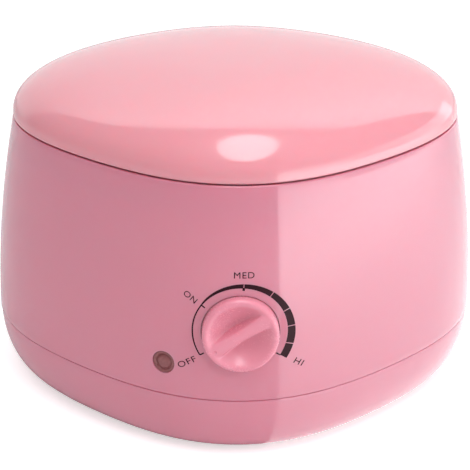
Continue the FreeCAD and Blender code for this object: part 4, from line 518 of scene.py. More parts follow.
# %% The base
base_rise = base_top - floor_level
bands = [math.radians(90 * i / 20) for i in range(21)]
base_rings = [(floor_level + base_rise * (1 - math.cos(a)),
               FLOOR_RATIO + (BASE_TOP_RATIO - FLOOR_RATIO) * math.sin(a)) for a in bands]
base = plan_ring("base_shell", floor_level, FLOOR_RATIO)
edit(base)
bpy.ops.mesh.edge_face_add()
bpy.ops.object.mode_set(mode="OBJECT")
edit(base, None, "EDGE")
bpy.ops.mesh.select_all(action="DESELECT")
bpy.ops.mesh.select_non_manifold(extend=False, use_wire=False, use_boundary=True,
                                 use_multi_face=False, use_non_contiguous=False, use_verts=False)
carry_on(base_rings)
done(base)
apply_modifier(base, "SOLIDIFY", thickness=SIDE_WALL, offset=-1, use_even_offset=True)
round_edges(base, at_level(base_top), JOINT_ROUNDING, 2)

UPSTAND_LOW, UPSTAND_HEIGHT = 19.5 * MM, 10.2 * MM
upstand = plan_ring("upstand", UPSTAND_LOW, BASE_TOP_RATIO, 2.8 * MM)
edit(upstand)
bpy.ops.mesh.extrude_region_move(TRANSFORM_OT_translate={"value": (0, 0, UPSTAND_HEIGHT)})
done(upstand)
apply_modifier(upstand, "SOLIDIFY", thickness=1.8 * MM, offset=-1, use_even_offset=True)
soften(upstand, 0.4 * MM)
print("base shell", len(base.data.polygons), "faces")

# %% [markdown]
# ## What the tray's floor holds
# The floor has a recess for each long screw, a hole for each rubber foot's stem, and slots that
# let air in under the heater.  Recess, hole and slot are each made once, copied, and cut in
# one go.  Hollow posts over the recesses carry the screws up to those of the housing.

# %% Holes in the base, and its posts
feet = [(x * MM, y * MM) for x, y in ((-60.03, -26.07), (60.03, -26.07), (-60.27, 37.69),
                                      (60.27, 37.69))]
VENT_PITCH = 7.0 * MM
vent = block("vent", (26 * MM, 2.5 * MM, 12 * MM), (0, 0, 3 * MM))
edit(vent)
bpy.ops.mesh.bevel(offset=0.8 * MM, segments=2, affect="EDGES")
done(vent)
cuts = repeated(rod("screw_recess", 3.05 * MM, -MM, 9 * MM, 32), posts)
cuts += repeated(rod("foot_hole", 2.25 * MM, -MM, 9 * MM, 24), feet)
cuts += repeated(vent, [(0, centre_y + VENT_PITCH * i) for i in range(-2, 3)])
combine(base, cuts, "DIFFERENCE")
post_rings = [(4.5, 3.5), (4.5, 29.98), (1.7, 29.98), (1.7, 22), (3.05, 22), (3.05, 3.5)]
rings = [(radius * MM, level * MM) for radius, level in post_rings]
merge(base, [upstand] + repeated(tube("base_post", rings), posts))
smooth(base, 30)
print("base", len(base.data.polygons), "faces")

# %% [markdown]
# ## The lid
# The lid repeats the plan in smaller and smaller rings up to its crown, and closes there in one
# point, so that no seam shows in its gloss.  Its lower edge is rounded, which is what catches
# the light as a thin line above the joint.

# %% The dome
lid_rise = crown_level - lid_low
DOME_RINGS, DOME_FULLNESS, DOME_SHOULDER = 40, 0.847, 0.820
bands = [math.radians(90 * (i / DOME_RINGS) ** 1.25) for i in range(DOME_RINGS)]
dome_rings = [(lid_low + lid_rise * math.sin(a) ** DOME_FULLNESS,
               RIM_RATIO * math.cos(a) ** DOME_SHOULDER) for a in bands]
lid = plan_ring("lid_shell", lid_low, RIM_RATIO)
edit(lid)
carry_on(dome_rings)
last_rise = crown_level - dome_rings[-1][0]
bpy.ops.mesh.extrude_region_move(TRANSFORM_OT_translate={"value": (0, 0, last_rise)})
bpy.ops.mesh.merge(type="CENTER")
done(lid)
apply_modifier(lid, "SOLIDIFY", thickness=LID_WALL, offset=-1, use_even_offset=True)
rim_length = RIM_RATIO * mean_radius


def on_outer_rim(corner):
    """True on the lower outer edge, which the light catches."""
    turn = math.atan2(corner.x, centre_y - corner.y)
    reach = math.hypot(corner.x, corner.y - centre_y)
    return abs(corner.z - lid_low) < TINY and abs(reach - rim_length * plan(turn)) < 0.1 * MM


round_edges(lid, on_outer_rim, 0.75 * MM, 5)
print("dome", len(lid.data.polygons), "faces, crown at",
      round(max(vertex.co.z for vertex in lid.data.vertices) / MM, 2))

# %% [markdown]
# ## The locating rib
# Inside the front half a thin rib hangs down and centres the lid in the housing.  It is made as
# a whole ring, and its rear half is bisected off, because it would foul the housing as the lid
# opens.  At the back an arm ends in the hinge knuckle instead.

# %% The locating rib
RIB_DROP, RIB_HEIGHT, RIB_INSET = 2.9 * MM, 8.2 * MM, 3.2 * MM
rib = plan_ring("rib", lid_low - RIB_DROP, RIM_RATIO, RIB_INSET)
edit(rib)
bpy.ops.mesh.extrude_region_move(TRANSFORM_OT_translate={"value": (0, 0, RIB_HEIGHT)})
done(rib)
apply_modifier(rib, "SOLIDIFY", thickness=1.6 * MM, offset=-1, use_even_offset=True)
edit(rib)
bpy.ops.mesh.bisect(plane_co=(0, centre_y, 0), plane_no=(0, 1, 0), use_fill=True,
                    clear_outer=True)
done(rib)
soften(rib, 0.3 * MM, 50)
print("rib", len(rib.data.polygons), "faces")

# %% [markdown]
# ## The lid's arm
# The arm is a web as wide as the knuckle.  Its side view is drawn once and extruded across, and
# the knuckle is a rod that is merged with it and drilled for the pin.

# %% The arm and the knuckle
LID_BORE = 1.55 * MM
arm_side = [(hinge.y + knuckle_radius, hinge.z), (hinge.y + knuckle_radius, lid_low + 2 * MM),
            (rear_wall - 1.25 * MM, lid_low + 7 * MM), (rear_wall - 1.25 * MM, lid_low),
            (hinge.y - knuckle_radius, lid_low), (hinge.y - knuckle_radius, hinge.z)]
arm = profile("lid_arm", arm_side)
bpy.ops.mesh.select_all(action="SELECT")
bpy.ops.mesh.edge_face_add()
bpy.ops.mesh.extrude_region_move(TRANSFORM_OT_translate={"value": (0, 2 * knuckle_half, 0)})
done(arm)
put(arm, Matrix.Translation((knuckle_half, 0, 0)) @ Matrix.Rotation(math.pi / 2, 4, "Z"))
soften(arm, 0.5 * MM, 60)
knuckle = rod("knuckle", knuckle_radius, -knuckle_half, knuckle_half)
soften(knuckle, 0.3 * MM, 60)
combine(arm, [put(knuckle, along_hinge)], "UNION")
pin_bore = rod("pin_bore", LID_BORE, -2 * knuckle_half, 2 * knuckle_half, 32)
combine(arm, [put(pin_bore, along_hinge)], "DIFFERENCE")
merge(lid, [rib, arm])
smooth(lid, 30)
print("lid", len(lid.data.polygons), "faces")

# %% [markdown]
# ## The knob
# The knob is a moulded cap: a turned drum with a round bowl in its face and a finger ridge left
# standing across it.  On the real thing every inner corner flows into the next with a radius of
# about a millimetre.  A bevel can't follow that where the ridge runs into the bowl, so both are
# merged, remeshed evenly and relaxed, which rounds every corner alike.  A dimple marks the
# ridge's pointing end.

# %% The knob's drum and its bowl
KNOB_RADIUS, KNOB_CROWN, BOWL_DEPTH, BOWL_RADIUS = 14.45, 4.2, 6.2, 12.0
FLOW, RIDGE_TURN = 0.85, math.radians(32.5)
sphere = (BOWL_RADIUS ** 2 + BOWL_DEPTH ** 2) / (2 * BOWL_DEPTH)
shaft_end = (dial.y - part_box("thermostat_shaft")[0].y) / MM


def bowl(radius):
    """Height of the face: a hollow sphere that flows into the flat rim."""
    hollow = math.sqrt(max(sphere ** 2 - radius ** 2, 0)) - (sphere - BOWL_DEPTH)
    return KNOB_CROWN - FLOW * math.log(1 + math.exp(hollow / FLOW))


FACE_RADIUS, FACE_POINTS, EDGE_ROUND = 12.9, 24, 1.6
reaches = [FACE_RADIUS * i / FACE_POINTS for i in range(FACE_POINTS + 1)]
face = [(reach, bowl(reach)) for reach in reaches]
edge = [(KNOB_RADIUS - EDGE_ROUND * (1 - math.sin(a)),
         face[-1][1] - EDGE_ROUND * (1 - math.cos(a)))
        for a in [math.radians(15 * i) for i in range(1, 7)]]
under = [(KNOB_RADIUS, -7.9), (12.3, -7.9), (12.3, -4.2), (5.2, -4.2), (5.2, -7.9), (3.02, -7.9),
         (3.02, shaft_end + 0.05), (0, shaft_end + 0.05)]
knob = lathe("knob_cap", [(x * MM, z * MM) for x, z in face + edge + under], 128)
print("knob drum", len(knob.data.polygons), "faces")

# %% The ridge, and the soft flow between all of them
RIDGE_LENGTH, RIDGE_WIDTH, RIDGE_TAPER, RIDGE_SINK = 25.2, 7.0, 0.60, 0.24
RIDGE_CROWN, RIDGE_FLARE, VOXEL = 0.75 * MM, 0.5, 0.27 * MM
ridge = block("ridge", (RIDGE_LENGTH * MM, RIDGE_WIDTH * MM, RIDGE_WIDTH * MM),
              (0, 0, (KNOB_CROWN - RIDGE_SINK - RIDGE_WIDTH / 2) * MM))
edit(ridge, lambda corner: corner.z > 0)
bpy.ops.transform.resize(value=(1, RIDGE_TAPER, 1))
bpy.ops.mesh.select_all(action="SELECT")
bpy.ops.mesh.subdivide(number_cuts=15)
done(ridge)
for vertex in ridge.data.vertices:
    height = max(0.0, vertex.co.z / (KNOB_CROWN * MM))
    half_top = RIDGE_WIDTH * RIDGE_TAPER / 2 * MM
    vertex.co.z -= RIDGE_CROWN * height * (vertex.co.y / half_top) ** 2
    vertex.co.y *= 1 + RIDGE_FLARE * (vertex.co.x / (RIDGE_LENGTH / 2 * MM)) ** 2
combine(knob, [ridge], "UNION")
apply_modifier(knob, "REMESH", mode="VOXEL", voxel_size=VOXEL)
apply_modifier(knob, "SMOOTH", factor=0.5, iterations=30)
DIMPLE, DIMPLE_REACH, DIMPLE_RISE = 0.85, 11.3, 0.15
bpy.ops.mesh.primitive_uv_sphere_add(
    segments=24, ring_count=16, radius=DIMPLE * MM,
    location=(-DIMPLE_REACH * MM, 0, (KNOB_CROWN + DIMPLE_RISE) * MM))
combine(knob, [fresh("pointer_dimple")], "DIFFERENCE")
put(knob, dial_place @ Matrix.Rotation(RIDGE_TURN, 4, "Z"))
smooth(knob, 50)
print("knob", len(knob.data.polygons), "faces")

# %% [markdown]
# ## The lamp's lens
# A small domed disc of smoky red plastic.  Its face is turned with two shallow ring grooves, the
# usual way to spread the light of a small neon lamp, and a flange behind keeps it in its hole.

# %% The lens
LENS = 4.45
lens_profile = [(0, -0.35), (2.2, -0.35), (2.45, -0.5), (2.6, -0.62), (2.95, -0.95),
                (3.1, -0.95), (3.3, -0.55), (3.6, -0.34), (4.1, -0.3), (4.33, -0.36),
                (LENS, -0.55), (LENS, -2.2), (5.3, -2.25), (5.3, -3.6), (0, -3.6)]
lens = put(lathe("lens_cap", [(x * MM, z * MM) for x, z in lens_profile], 72), lamp_place)
smooth(lens, 40)
print("lens", len(lens.data.polygons), "faces")

# %% [markdown]
# ## The pot
# The pot is spun from sheet: one wall thickness all over, a large radius at its foot and a rolled
# flange that hangs on the heated chamber.  So its section is drawn once and turned.

# %% The pot
POT, POT_WALL, POT_RIM, POT_CORNER, LIP = 54.5, 1.2, 59.6, 7.0, 0.8
pot_low, pot_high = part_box("inner_pot")[0].z / MM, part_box("inner_pot")[1].z / MM
quarter_turn = [math.radians(15 * i) for i in range(7)]
outer_foot = [(POT - POT_CORNER * (1 - math.sin(a)), pot_low + POT_CORNER * (1 - math.cos(a)))
              for a in quarter_turn]
inner_foot = [(POT - POT_CORNER + (POT_CORNER - POT_WALL) * math.sin(a),
               pot_low + POT_CORNER - (POT_CORNER - POT_WALL) * math.cos(a))
              for a in quarter_turn]
rim = [(POT + 0.02, pot_high - 2 * LIP), (POT_RIM - LIP, pot_high - 2 * LIP)]
rim += [(POT_RIM - LIP * (1 - math.sin(a)), pot_high - LIP * (1 + math.cos(a)))
        for a in [math.radians(30 * i) for i in range(1, 6)]]
rim += [(POT_RIM - LIP, pot_high), (POT - POT_WALL + LIP, pot_high)]
rim += [(POT - POT_WALL + LIP * (1 - math.sin(a)), pot_high - LIP * (1 - math.cos(a)))
        for a in [math.radians(30 * i) for i in range(1, 4)]]
pot_profile = [(0, pot_low)] + outer_foot + rim + inner_foot[::-1] + [(0, pot_low + POT_WALL)]
pot = lathe("pot_cup", [(x * MM, z * MM) for x, z in pot_profile], 160)
put(pot, Matrix.Translation((0, pot_y, 0)))
smooth(pot, 40)
print("pot", len(pot.data.polygons), "faces")

# %% [markdown]
# ## Small visible parts
# The pot's bail is bent from one round wire, and both its ends turn outwards through the ears.
# It, the ears, the inlet, the pins, feet and screws already have their true shape.  Only their
# edges are too sharp to catch the light, so each is copied, its loose triangles are merged into
# flat faces, and the corners of all but the wire are broken by a few tenths of a millimetre.

# %% Small parts with softened edges
CORNER = 40


def softened(node, name, width):
    """A copy of a fixed part whose hard edges are rounded."""
    source = frame["nodes"][node]
    piece = bpy.data.objects.new(name, source.data.copy())
    bpy.context.scene.collection.objects.link(piece)
    piece.data.name = name
    edit(piece)
    bpy.ops.mesh.remove_doubles(threshold=SEAM)
    bpy.ops.mesh.dissolve_limited(angle_limit=math.radians(1))
    bpy.ops.mesh.normals_make_consistent(inside=False)
    bpy.ops.object.mode_set(mode="OBJECT")
    if width:
        soften(piece, width * MM, CORNER)
    return smooth(piece, CORNER)


twins = {}
for node, name, width in (("pot_bail", "bail_wire", 0), ("bail_ears", "ears", 0.25),
                          ("inlet_body", "inlet_shell", 0.3), ("inlet_pins", "pins", 0.3),
                          ("rubber_feet", "feet", 0.3), ("base_screws", "long_screws", 0.12),
                          ("inlet_screws", "flange_screws", 0.12), ("hinge_pin", "pin", 0.2)):
    twins[node] = softened(node, name, width)
    print(name, len(twins[node].data.polygons), "faces")

# %% [markdown]
# ## The printed scale
# The scale is pad printed, a few hundredths of a millimetre of dark ink on the curved wall.
# Each mark is drawn flat, as the printing plate is, then every corner is carried onto the wall
# along the dial's axis, and the film gets its thickness.  The bands are a short line that is
# spun round the dial, and the words are letters of a plain font turned into meshes.

# %% Drawing the scale flat
LINE, SCALE_IN, GROWTH = 0.5, 17.6, 2.5
OFF, ON, MED, HIGH = 212.3, 144.2, 86.4, -33.2
GAP, FULL, TICK_OVERLAP, LETTER_HEIGHT = 0.5, -5.0, 0.2, 2.35


def thickness(angle):
    """The band swells from ON towards the hot end."""
    along = min(1.0, max(0.0, (ON - angle) / (ON - FULL)))
    return LINE + GROWTH * along ** 0.85


def band(start, end):
    """A flat piece of the scale between two angles, in degrees."""
    piece = profile("band", [(SCALE_IN * MM, 0), ((SCALE_IN + LINE) * MM, 0)])
    bpy.ops.mesh.select_all(action="SELECT")
    bpy.ops.mesh.spin(steps=max(2, round((start - end) / 2)), angle=math.radians(start - end),
                      center=(0, 0, 0), axis=(0, 0, 1))
    bpy.ops.object.mode_set(mode="OBJECT")
    for vertex in piece.data.vertices:
        angle = end + math.degrees(abs(math.atan2(vertex.co.y, vertex.co.x)))
        outer = math.hypot(vertex.co.x, vertex.co.y) > (SCALE_IN + LINE / 2) * MM
        reach = (SCALE_IN + (thickness(angle) if outer else 0)) * MM
        turn = math.radians(angle)
        vertex.co = Vector((reach * math.cos(turn), reach * math.sin(turn), 0))
    return piece


def tick(angle, length, width):
    """A short flat stroke that points inwards from the band."""
    bpy.ops.mesh.primitive_plane_add(size=1)
    piece = fresh("tick")
    for vertex in piece.data.vertices:
        vertex.co.x = (SCALE_IN + TICK_OVERLAP + (vertex.co.x - 0.5) * length) * MM
        vertex.co.y *= width * MM
    return put(piece, Matrix.Rotation(math.radians(angle), 4, "Z"))


def word(letters, across, up, turn, width):
    """Letters of the built-in font as a flat mesh, sized by their own outline."""
    bpy.ops.object.text_add()
    text = bpy.context.object
    text.data.body = letters
    text.data.space_character = 1.12
    bpy.ops.object.convert(target="MESH")
    piece = fresh("word")
    corners = [vertex.co for vertex in piece.data.vertices]
    low = Vector([min(corner[i] for corner in corners) for i in range(3)])
    high = Vector([max(corner[i] for corner in corners) for i in range(3)])
    size = high - low
    put(piece, Matrix.Translation(-(low + high) / 2))
    put(piece, Matrix.Diagonal((width * MM / size.x, LETTER_HEIGHT * MM / size.y, 1, 1)))
    return put(piece, Matrix.Translation((across * MM, up * MM, 0))
               @ Matrix.Rotation(math.radians(turn), 4, "Z"))


stops = [ON, MED, 52.0, 25.5, 4.8, -16.3, HIGH]
marks = [band(OFF, ON + 0.01)]
for start, end in zip(stops, stops[1:]):
    marks.append(band(start - (GAP if start != ON else 0), end + (GAP if end != HIGH else 0)))
marks += [tick(OFF, 1.7, 0.5), tick(ON, 1.6, 0.5), tick(MED, 1.1, 0.9), tick(HIGH, 1.9, 0.5),
          word("MED", 1.25, 22.6, 0, 7.5), word("ON", -18.5, 13.2, -37.5, 5.3),
          word("OFF", -20.0, -13.1, 31.0, 7.6), word("HI", 22.0, -13.6, -31.7, 3.7)]
scale_print = merge(marks[0], marks[1:])
scale_print.name = scale_print.data.name = "dial_print"
print("scale drawn with", len(scale_print.data.vertices), "corners")

# %% [markdown]
# ## Onto the wall
# Each corner looks along the dial's axis for the wall, and moves out by the film's thickness and
# a hair more, so that ink and plastic never share a face.

# %% Carrying the scale onto the wall
INK, CLEARANCE = 0.02 * MM, 0.012 * MM
for vertex in scale_print.data.vertices:
    place = dial_place @ vertex.co
    turn = turn_at(place.x, place.z)
    vertex.co = wall_point(turn, place.z) + wall_normal(turn, place.z) * (INK + CLEARANCE)
edit(scale_print)
bpy.ops.mesh.remove_doubles(threshold=SEAM)
bpy.ops.mesh.normals_make_consistent(inside=False)
bpy.ops.object.mode_set(mode="OBJECT")
apply_modifier(scale_print, "SOLIDIFY", thickness=INK, offset=-1)
smooth(scale_print, 30)
print("scale", len(scale_print.data.polygons), "faces")

# %% [markdown]
# ## Finishes
# A shader is a small sum, so it is written as one: a wire stands for a node's output, and adding
# or multiplying wires builds the Math nodes.  All patterns are in the object's own metres, which
# keeps grain and scratches at their real size on every part.

# %% Wires, and the sums made with them
class Wire:
    """A node's output that can be reckoned with like a number."""

    def __init__(self, tree, socket):
        self.tree, self.socket = tree, socket

    def make(self, kind, settings, inputs, out=0):
        """Any other node: its settings first, then its inputs, each a value or a wire."""
        node = self.tree.nodes.new("ShaderNode" + kind)
        for name, value in settings.items():
            setattr(node, name, value)
        for name, value in inputs.items():
            if isinstance(value, Wire):
                self.tree.links.new(value.socket, node.inputs[name])
            else:
                node.inputs[name].default_value = value
        return Wire(self.tree, node.outputs[out])

    def reckon(self, operation, *values):
        """A sum or a product, as a Math node."""
        return self.make("Math", {"operation": operation}, dict(enumerate(values)))

    def __add__(self, other):
        return self.reckon("ADD", self, other)

    def __mul__(self, other):
        return self.reckon("MULTIPLY", self, other)

    __radd__ = __add__
    __rmul__ = __mul__

    def between(self, first, second):
        """A colour between two others, by this share."""
        return self.make("Mix", {"data_type": "RGBA"}, {0: self, 6: first, 7: second}, 2)

    def noise(self, scale, detail=2.0, stretch=(1, 1, 1)):
        """Even noise, whose scale is in patches per metre."""
        here = self.make("Mapping", {}, {"Vector": self, "Scale": stretch})
        return here.make("TexNoise", {}, {"Vector": here, "Scale": scale, "Detail": detail})


def tinted(colour, share):
    """A colour made lighter or darker, as a full RGBA."""
    return tuple(min(1.0, part * share) for part in colour[:3]) + (1.0,)


def linear(red, green, blue):
    """A colour from its usual 0 to 255 numbers."""
    parts = [part / 255 for part in (red, green, blue)]
    return tuple(((part + 0.055) / 1.055) ** 2.4 if part > 0.04045 else part / 12.92
                 for part in parts) + (1.0,)


GLOSS_SPREAD = 0.06


def finish(name, colour, roughness, patch, spread, grain, depth, stretch=(1, 1, 1), **constants):
    """A material whose colour and gloss vary gently, over a fine grain in the surface."""
    material = bpy.data.materials.new(name)
    material.use_nodes = True
    tree = material.node_tree
    shader = tree.nodes["Principled BSDF"]
    place = Wire(tree, tree.nodes.new("ShaderNodeTexCoord").outputs["Object"])
    cloud = place.noise(patch)
    fine = place.noise(grain, 3.0, stretch)
    tree.links.new(cloud.between(tinted(colour, 1 - spread), tinted(colour, 1 + spread)).socket,
                   shader.inputs["Base Color"])
    gloss = roughness - GLOSS_SPREAD / 2 + GLOSS_SPREAD * (0.5 * cloud + 0.5 * fine)
    tree.links.new(gloss.socket, shader.inputs["Roughness"])
    bump = fine.make("Bump", {}, {"Strength": 0.6, "Distance": depth * MM, "Height": fine})
    tree.links.new(bump.socket, shader.inputs["Normal"])
    for socket, value in constants.items():
        shader.inputs[socket.replace("_", " ")].default_value = value
    return material


# %% [markdown]
# ## What each finish is
# The pink mouldings are glossy and a little translucent: light enters them and comes back
# redder.  The lid is a warmer pink than the body, and the knob is duller.  The pot is spun
# aluminium with a dull oxide skin, so it isn't fully metallic.  Each row gives the colour, the
# roughness, cloudy patches with their strength, and grain with its depth in millimetres.

# %% The set of finishes
TRANSLUCENT = {"Subsurface_Weight": 0.5, "Subsurface_Radius": (1.0, 0.14, 0.2),
               "Subsurface_Scale": 0.0065}
finishes = {
    "body_plastic": finish("body_pink", linear(216, 134, 153), 0.13, 25, 0.02, 900, 0.002,
                           IOR=1.5, Coat_Roughness=0.04, Coat_Weight=0.3, **TRANSLUCENT),
    "lid_plastic": finish("lid_pink", linear(234, 152, 163), 0.15, 25, 0.02, 900, 0.002,
                          IOR=1.5, Coat_Roughness=0.05, Coat_Weight=0.3, **TRANSLUCENT),
    "knob_plastic": finish("knob_pink", linear(228, 145, 163), 0.27, 80, 0.02, 1500, 0.002,
                           IOR=1.5, **{**TRANSLUCENT, "Subsurface_Weight": 0.25}),
    "lens_plastic": finish("lens_red_brown", linear(140, 78, 80), 0.22, 900, 0.25, 2500, 0.01,
                           IOR=1.5, Subsurface_Weight=0.1),
    "dark_plastic": finish("black_plastic", linear(30, 30, 32), 0.45, 120, 0.15, 6000, 0.02),
    "block_plastic": finish("white_nylon", linear(232, 228, 214), 0.4, 150, 0.03, 3000, 0.01),
    "pot_aluminium": finish("turned_aluminium", linear(205, 206, 209), 0.38, 40, 0.03, 400, 0.004,
                            Metallic=0.75),
    "chamber_aluminium": finish("dull_aluminium", linear(176, 176, 178), 0.42, 60, 0.06, 2500,
                                0.01, Metallic=1.0),
    "heater_steel": finish("heated_steel", linear(150, 142, 132), 0.38, 90, 0.18, 1800, 0.01,
                           Metallic=1.0),
    "steel": finish("plated_steel", linear(196, 197, 202), 0.28, 200, 0.05, 3000, 0.006,
                    Metallic=1.0),
    "brass": finish("bare_brass", linear(206, 172, 98), 0.3, 250, 0.08, 2500, 0.006, Metallic=1.0),
    "spring_brass": finish("spring_bronze", linear(190, 146, 84), 0.3, 250, 0.08, 900, 0.008,
                           stretch=(1, 12, 12), Metallic=1.0),
    "ceramic": finish("steatite", linear(226, 220, 203), 0.6, 400, 0.05, 5000, 0.02),
    "lamp_glass": finish("lamp_glass", linear(240, 170, 130), 0.06, 300, 0.05, 500, 0.001,
                         Transmission_Weight=0.8, IOR=1.45),
    "rubber": finish("grey_rubber", linear(42, 42, 44), 0.62, 300, 0.15, 7000, 0.03),
    "fuse_metal": finish("fuse_case", linear(170, 170, 172), 0.35, 300, 0.06, 1500, 0.008,
                         Metallic=1.0),
    "wire_brown": finish("brown_sleeve", linear(96, 58, 34), 0.42, 300, 0.08, 4000, 0.01),
    "wire_blue": finish("blue_sleeve", linear(42, 84, 150), 0.42, 300, 0.08, 4000, 0.01),
    "wire_white": finish("glass_sleeve", linear(226, 224, 214), 0.7, 500, 0.06, 2600, 0.04),
}
ink = finish("scale_ink", linear(42, 8, 20), 0.4, 60, 0.1, 3000, 0.002,
             Specular_IOR_Level=0.15)
print(len(finishes) + 1, "finishes")

# %% [markdown]
# ## Riding and dressing
# Every new piece says which moving body carries it, whose finish it takes and which fixed part
# it stands for.  Fixed parts that nothing replaces only get their finish.

# %% Which piece rides where, and wears what
slot_of = {part["node"]: part["material_slot"] for part in frame["record"]["subparts"]}
body_of = {node: body for body, nodes in frame["record"]["behaviour"]["bodies"].items()
           for node in nodes}
stands_for = [(housing, "upper_housing"), (base, "base_tray"), (lid, "lid"), (knob, "knob"),
              (lens, "indicator_lens"), (pot, "inner_pot")]
stands_for += [(piece, node) for node, piece in twins.items()]


def dress(piece, material):
    """Gives a piece one material."""
    piece.data.materials.clear()
    piece.data.materials.append(material)


for piece, node in stands_for:
    dress(piece, finishes[slot_of[node]])
    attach(piece, body_of[node])
    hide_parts(node)
dress(scale_print, ink)
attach(scale_print, "housing")
replaced = {node for _, node in stands_for}
for node, source in frame["nodes"].items():
    if node not in replaced:
        for place in source.material_slots:
            place.material = finishes[slot_of[node]]
kept = len(frame["nodes"]) - len(replaced)
print(len(stands_for), "pieces stand for parts,", kept, "parts keep theirs")

# %% [markdown]
# ## The studio
# A pale floor in a white surround.  The floor and the surround look white to the camera through
# the Light Path node, not through more light, so the object keeps its colours and its shadow.
# Gloss sees the surround much darker, which keeps the reflections of the cards clear.

# %% Floor
FLOOR_SIZE, FLOOR_DROP, FLOOR_GLOW = 6.0, 0.05 * MM, 0.55
bpy.ops.mesh.primitive_plane_add(size=FLOOR_SIZE, location=(0, 0, -FLOOR_DROP))
floor = fresh("floor")
paper = bpy.data.materials.new("paper")
paper.use_nodes = True
tree = paper.node_tree
shader = tree.nodes["Principled BSDF"]
shader.inputs["Base Color"].default_value = (0.86, 0.86, 0.87, 1)
shader.inputs["Roughness"].default_value = 0.9
shader.inputs["Specular IOR Level"].default_value = 0.0
lit = Wire(tree, tree.nodes.new("ShaderNodeLightPath").outputs["Is Camera Ray"])
tree.links.new(lit.between((0, 0, 0, 1), (1, 1, 1, 1)).socket, shader.inputs["Emission Color"])
shader.inputs["Emission Strength"].default_value = FLOOR_GLOW
dress(floor, paper)
print("floor", FLOOR_SIZE, "m square, glow", FLOOR_GLOW)

# %% White surround
world = bpy.data.worlds.new("studio")
bpy.context.scene.world = world
world.use_nodes = True
tree = world.node_tree
backdrop = tree.nodes["Background"]
backdrop.inputs["Color"].default_value = (1, 1, 1, 1)
path = tree.nodes.new("ShaderNodeLightPath")
seen, mirrored, through = (Wire(tree, path.outputs[name])
                           for name in ("Is Camera Ray", "Is Glossy Ray", "Is Transmission Ray"))
FILL, MIRRORED = 0.55, 0.3
strength = FILL + (1 - FILL) * seen + (MIRRORED - FILL) * mirrored + (1 - FILL) * through
tree.links.new(strength.socket, backdrop.inputs["Strength"])
print("surround", FILL, "in shade,", MIRRORED, "in gloss")

# %% [markdown]
# ## Lamps and cards
# Two soft lamps, above and to the right, light the object and don't show in its gloss.  The
# cards only show in the gloss, so they can be bright without washing out the colour.  One lies
# on the floor to the front right, and its straight edge draws the sharp change of tone down the
# front.  An oval box above gives the lid its highlight, and a graded card behind lets the lid's
# sheen grow towards the right.

# %% Ways to make a lamp
def soft_box(name, place, target, size, radiance, gloss_only=False, diffuse_only=False):
    """A rectangular lamp of even brightness that faces a point."""
    lamp = bpy.data.lights.new(name, "AREA")
    lamp.shape = "RECTANGLE"
    lamp.size, lamp.size_y = size
    lamp.energy = radiance * math.pi * size[0] * size[1]
    holder = bpy.data.objects.new(name, lamp)
    bpy.context.scene.collection.objects.link(holder)
    aim = (Vector(target) - Vector(place)).to_track_quat("-Z", "Y").to_matrix().to_4x4()
    holder.matrix_world = Matrix.Translation(place) @ aim
    holder.visible_camera = False
    holder.visible_diffuse = not gloss_only
    holder.visible_glossy = not diffuse_only
    return holder


def fade(holder, direction, places, shares):
    """Lets a lamp's brightness change along a direction, as a graded card's does."""
    holder.data.use_nodes = True
    tree = holder.data.node_tree
    place = Wire(tree, tree.nodes.new("ShaderNodeNewGeometry").outputs["Position"])
    along = place.make("VectorMath", {"operation": "DOT_PRODUCT"},
                       {0: place, 1: direction}, 1)
    share = along.make("MapRange", {"interpolation_type": "SMOOTHSTEP"},
                       {0: along, 1: places[0], 2: places[1], 3: shares[0], 4: shares[1]})
    tree.links.new(share.socket, tree.nodes["Emission"].inputs["Strength"])


# %% The lamps, and the cards above and behind
soft_box("overhead", (0.15, -0.25, 1.1), (0, 0, 0.05), (1.4, 1.0), 1.9, diffuse_only=True)
soft_box("right_key", (0.9, -0.75, 0.55), (0, 0, 0.06), (0.8, 0.8), 2.35, diffuse_only=True)
lid_box = soft_box("lid_box", (0, 0, 1), (0, 0, 0), (0.50, 1.10), 4.4, gloss_only=True)
lid_box.data.shape = "ELLIPSE"
lid_box.matrix_world = Matrix.Translation((0.084, -0.30, 1.1))
back_box = soft_box("back_box", (0, 1.4, 1.6), (0, 0, 1.6), (4.5, 3.2), 1.8, gloss_only=True)
fade(back_box, (0.35, 0, 1), (0.7, 2.4), (0.40, 1.0))
print("lid box at", tuple(round(v, 3) for v in lid_box.matrix_world.translation))

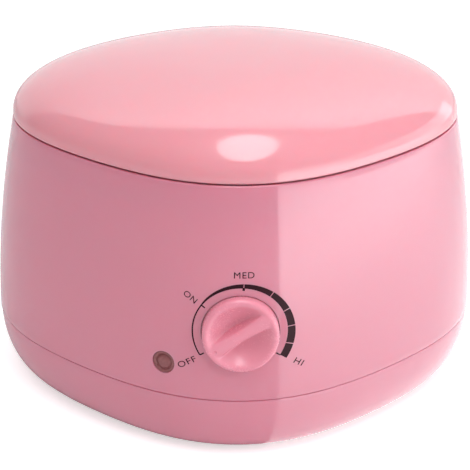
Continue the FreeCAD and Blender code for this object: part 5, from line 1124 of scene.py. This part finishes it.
# %% The cards round the front right
EDGE_TURN = math.radians(28)
edge_foot = Vector((0.0145, -0.084, 0.0004))
edge_line = Vector((math.sin(EDGE_TURN), -math.cos(EDGE_TURN), 0))
edge_side = Vector((math.cos(EDGE_TURN), math.sin(EDGE_TURN), 0))
CARD_BACK, CARD_FRONT, CARD_WIDTH, CARD_HEIGHT = 0.5, 1.6, 1.4, 0.5
card = soft_box("floor_card", (0, 0, 0), (0, 0, 1), (CARD_WIDTH, CARD_BACK + CARD_FRONT), 4.2,
                gloss_only=True)
middle = edge_foot + edge_line * (CARD_FRONT - CARD_BACK) / 2 + edge_side * CARD_WIDTH / 2
card.matrix_world = (Matrix.Translation(middle) @ Matrix.Rotation(EDGE_TURN, 4, "Z")
                     @ Matrix.Rotation(math.pi, 4, "X"))
start = edge_foot.dot(edge_line)
fade(card, edge_line, (start - 0.15, start + 0.40), (0.09, 0.80))
foot = edge_foot + edge_line * CARD_FRONT + edge_side * CARD_WIDTH / 2
foot.z = CARD_HEIGHT / 2
front_card = soft_box("front_card", foot, foot - edge_line, (CARD_WIDTH, CARD_HEIGHT), 3.4,
                      gloss_only=True)
fade(front_card, (0, 0, 1), (0.05, CARD_HEIGHT), (1.0, 0.3))
foot = edge_foot + edge_side * CARD_WIDTH + edge_line * (CARD_FRONT - CARD_BACK) / 2
foot.z = CARD_HEIGHT / 2
soft_box("side_card", foot, foot - edge_side, (CARD_BACK + CARD_FRONT, CARD_HEIGHT), 1.6,
         gloss_only=True)
print("card edge starts at", [round(v / MM, 1) for v in edge_foot])

# %% [markdown]
# ## The camera
# A long lens 0.66 m away looks down by some 24 degrees, so that the lid's dome and the dial both
# show, with little distortion.

# %% Camera
camera_data = bpy.data.cameras.new("camera")
camera = bpy.data.objects.new("camera", camera_data)
bpy.context.scene.collection.objects.link(camera)
camera_data.sensor_width = 36.0
camera_data.lens = 119.32
camera_data.shift_y = 0.0179
eye, target, ROLL = Vector((-0.0150, -0.5989, 0.3190)), Vector((0, 0.0036, 0.052)), 0.005
sight = (target - eye).to_track_quat("-Z", "Y").to_matrix().to_4x4()
camera.matrix_world = Matrix.Translation(eye) @ sight @ Matrix.Rotation(ROLL, 4, "Z")
bpy.context.scene.camera = camera
bpy.context.scene.view_settings.view_transform = "Standard"
print("camera at", [round(v, 3) for v in eye], "lens", round(camera_data.lens, 1))
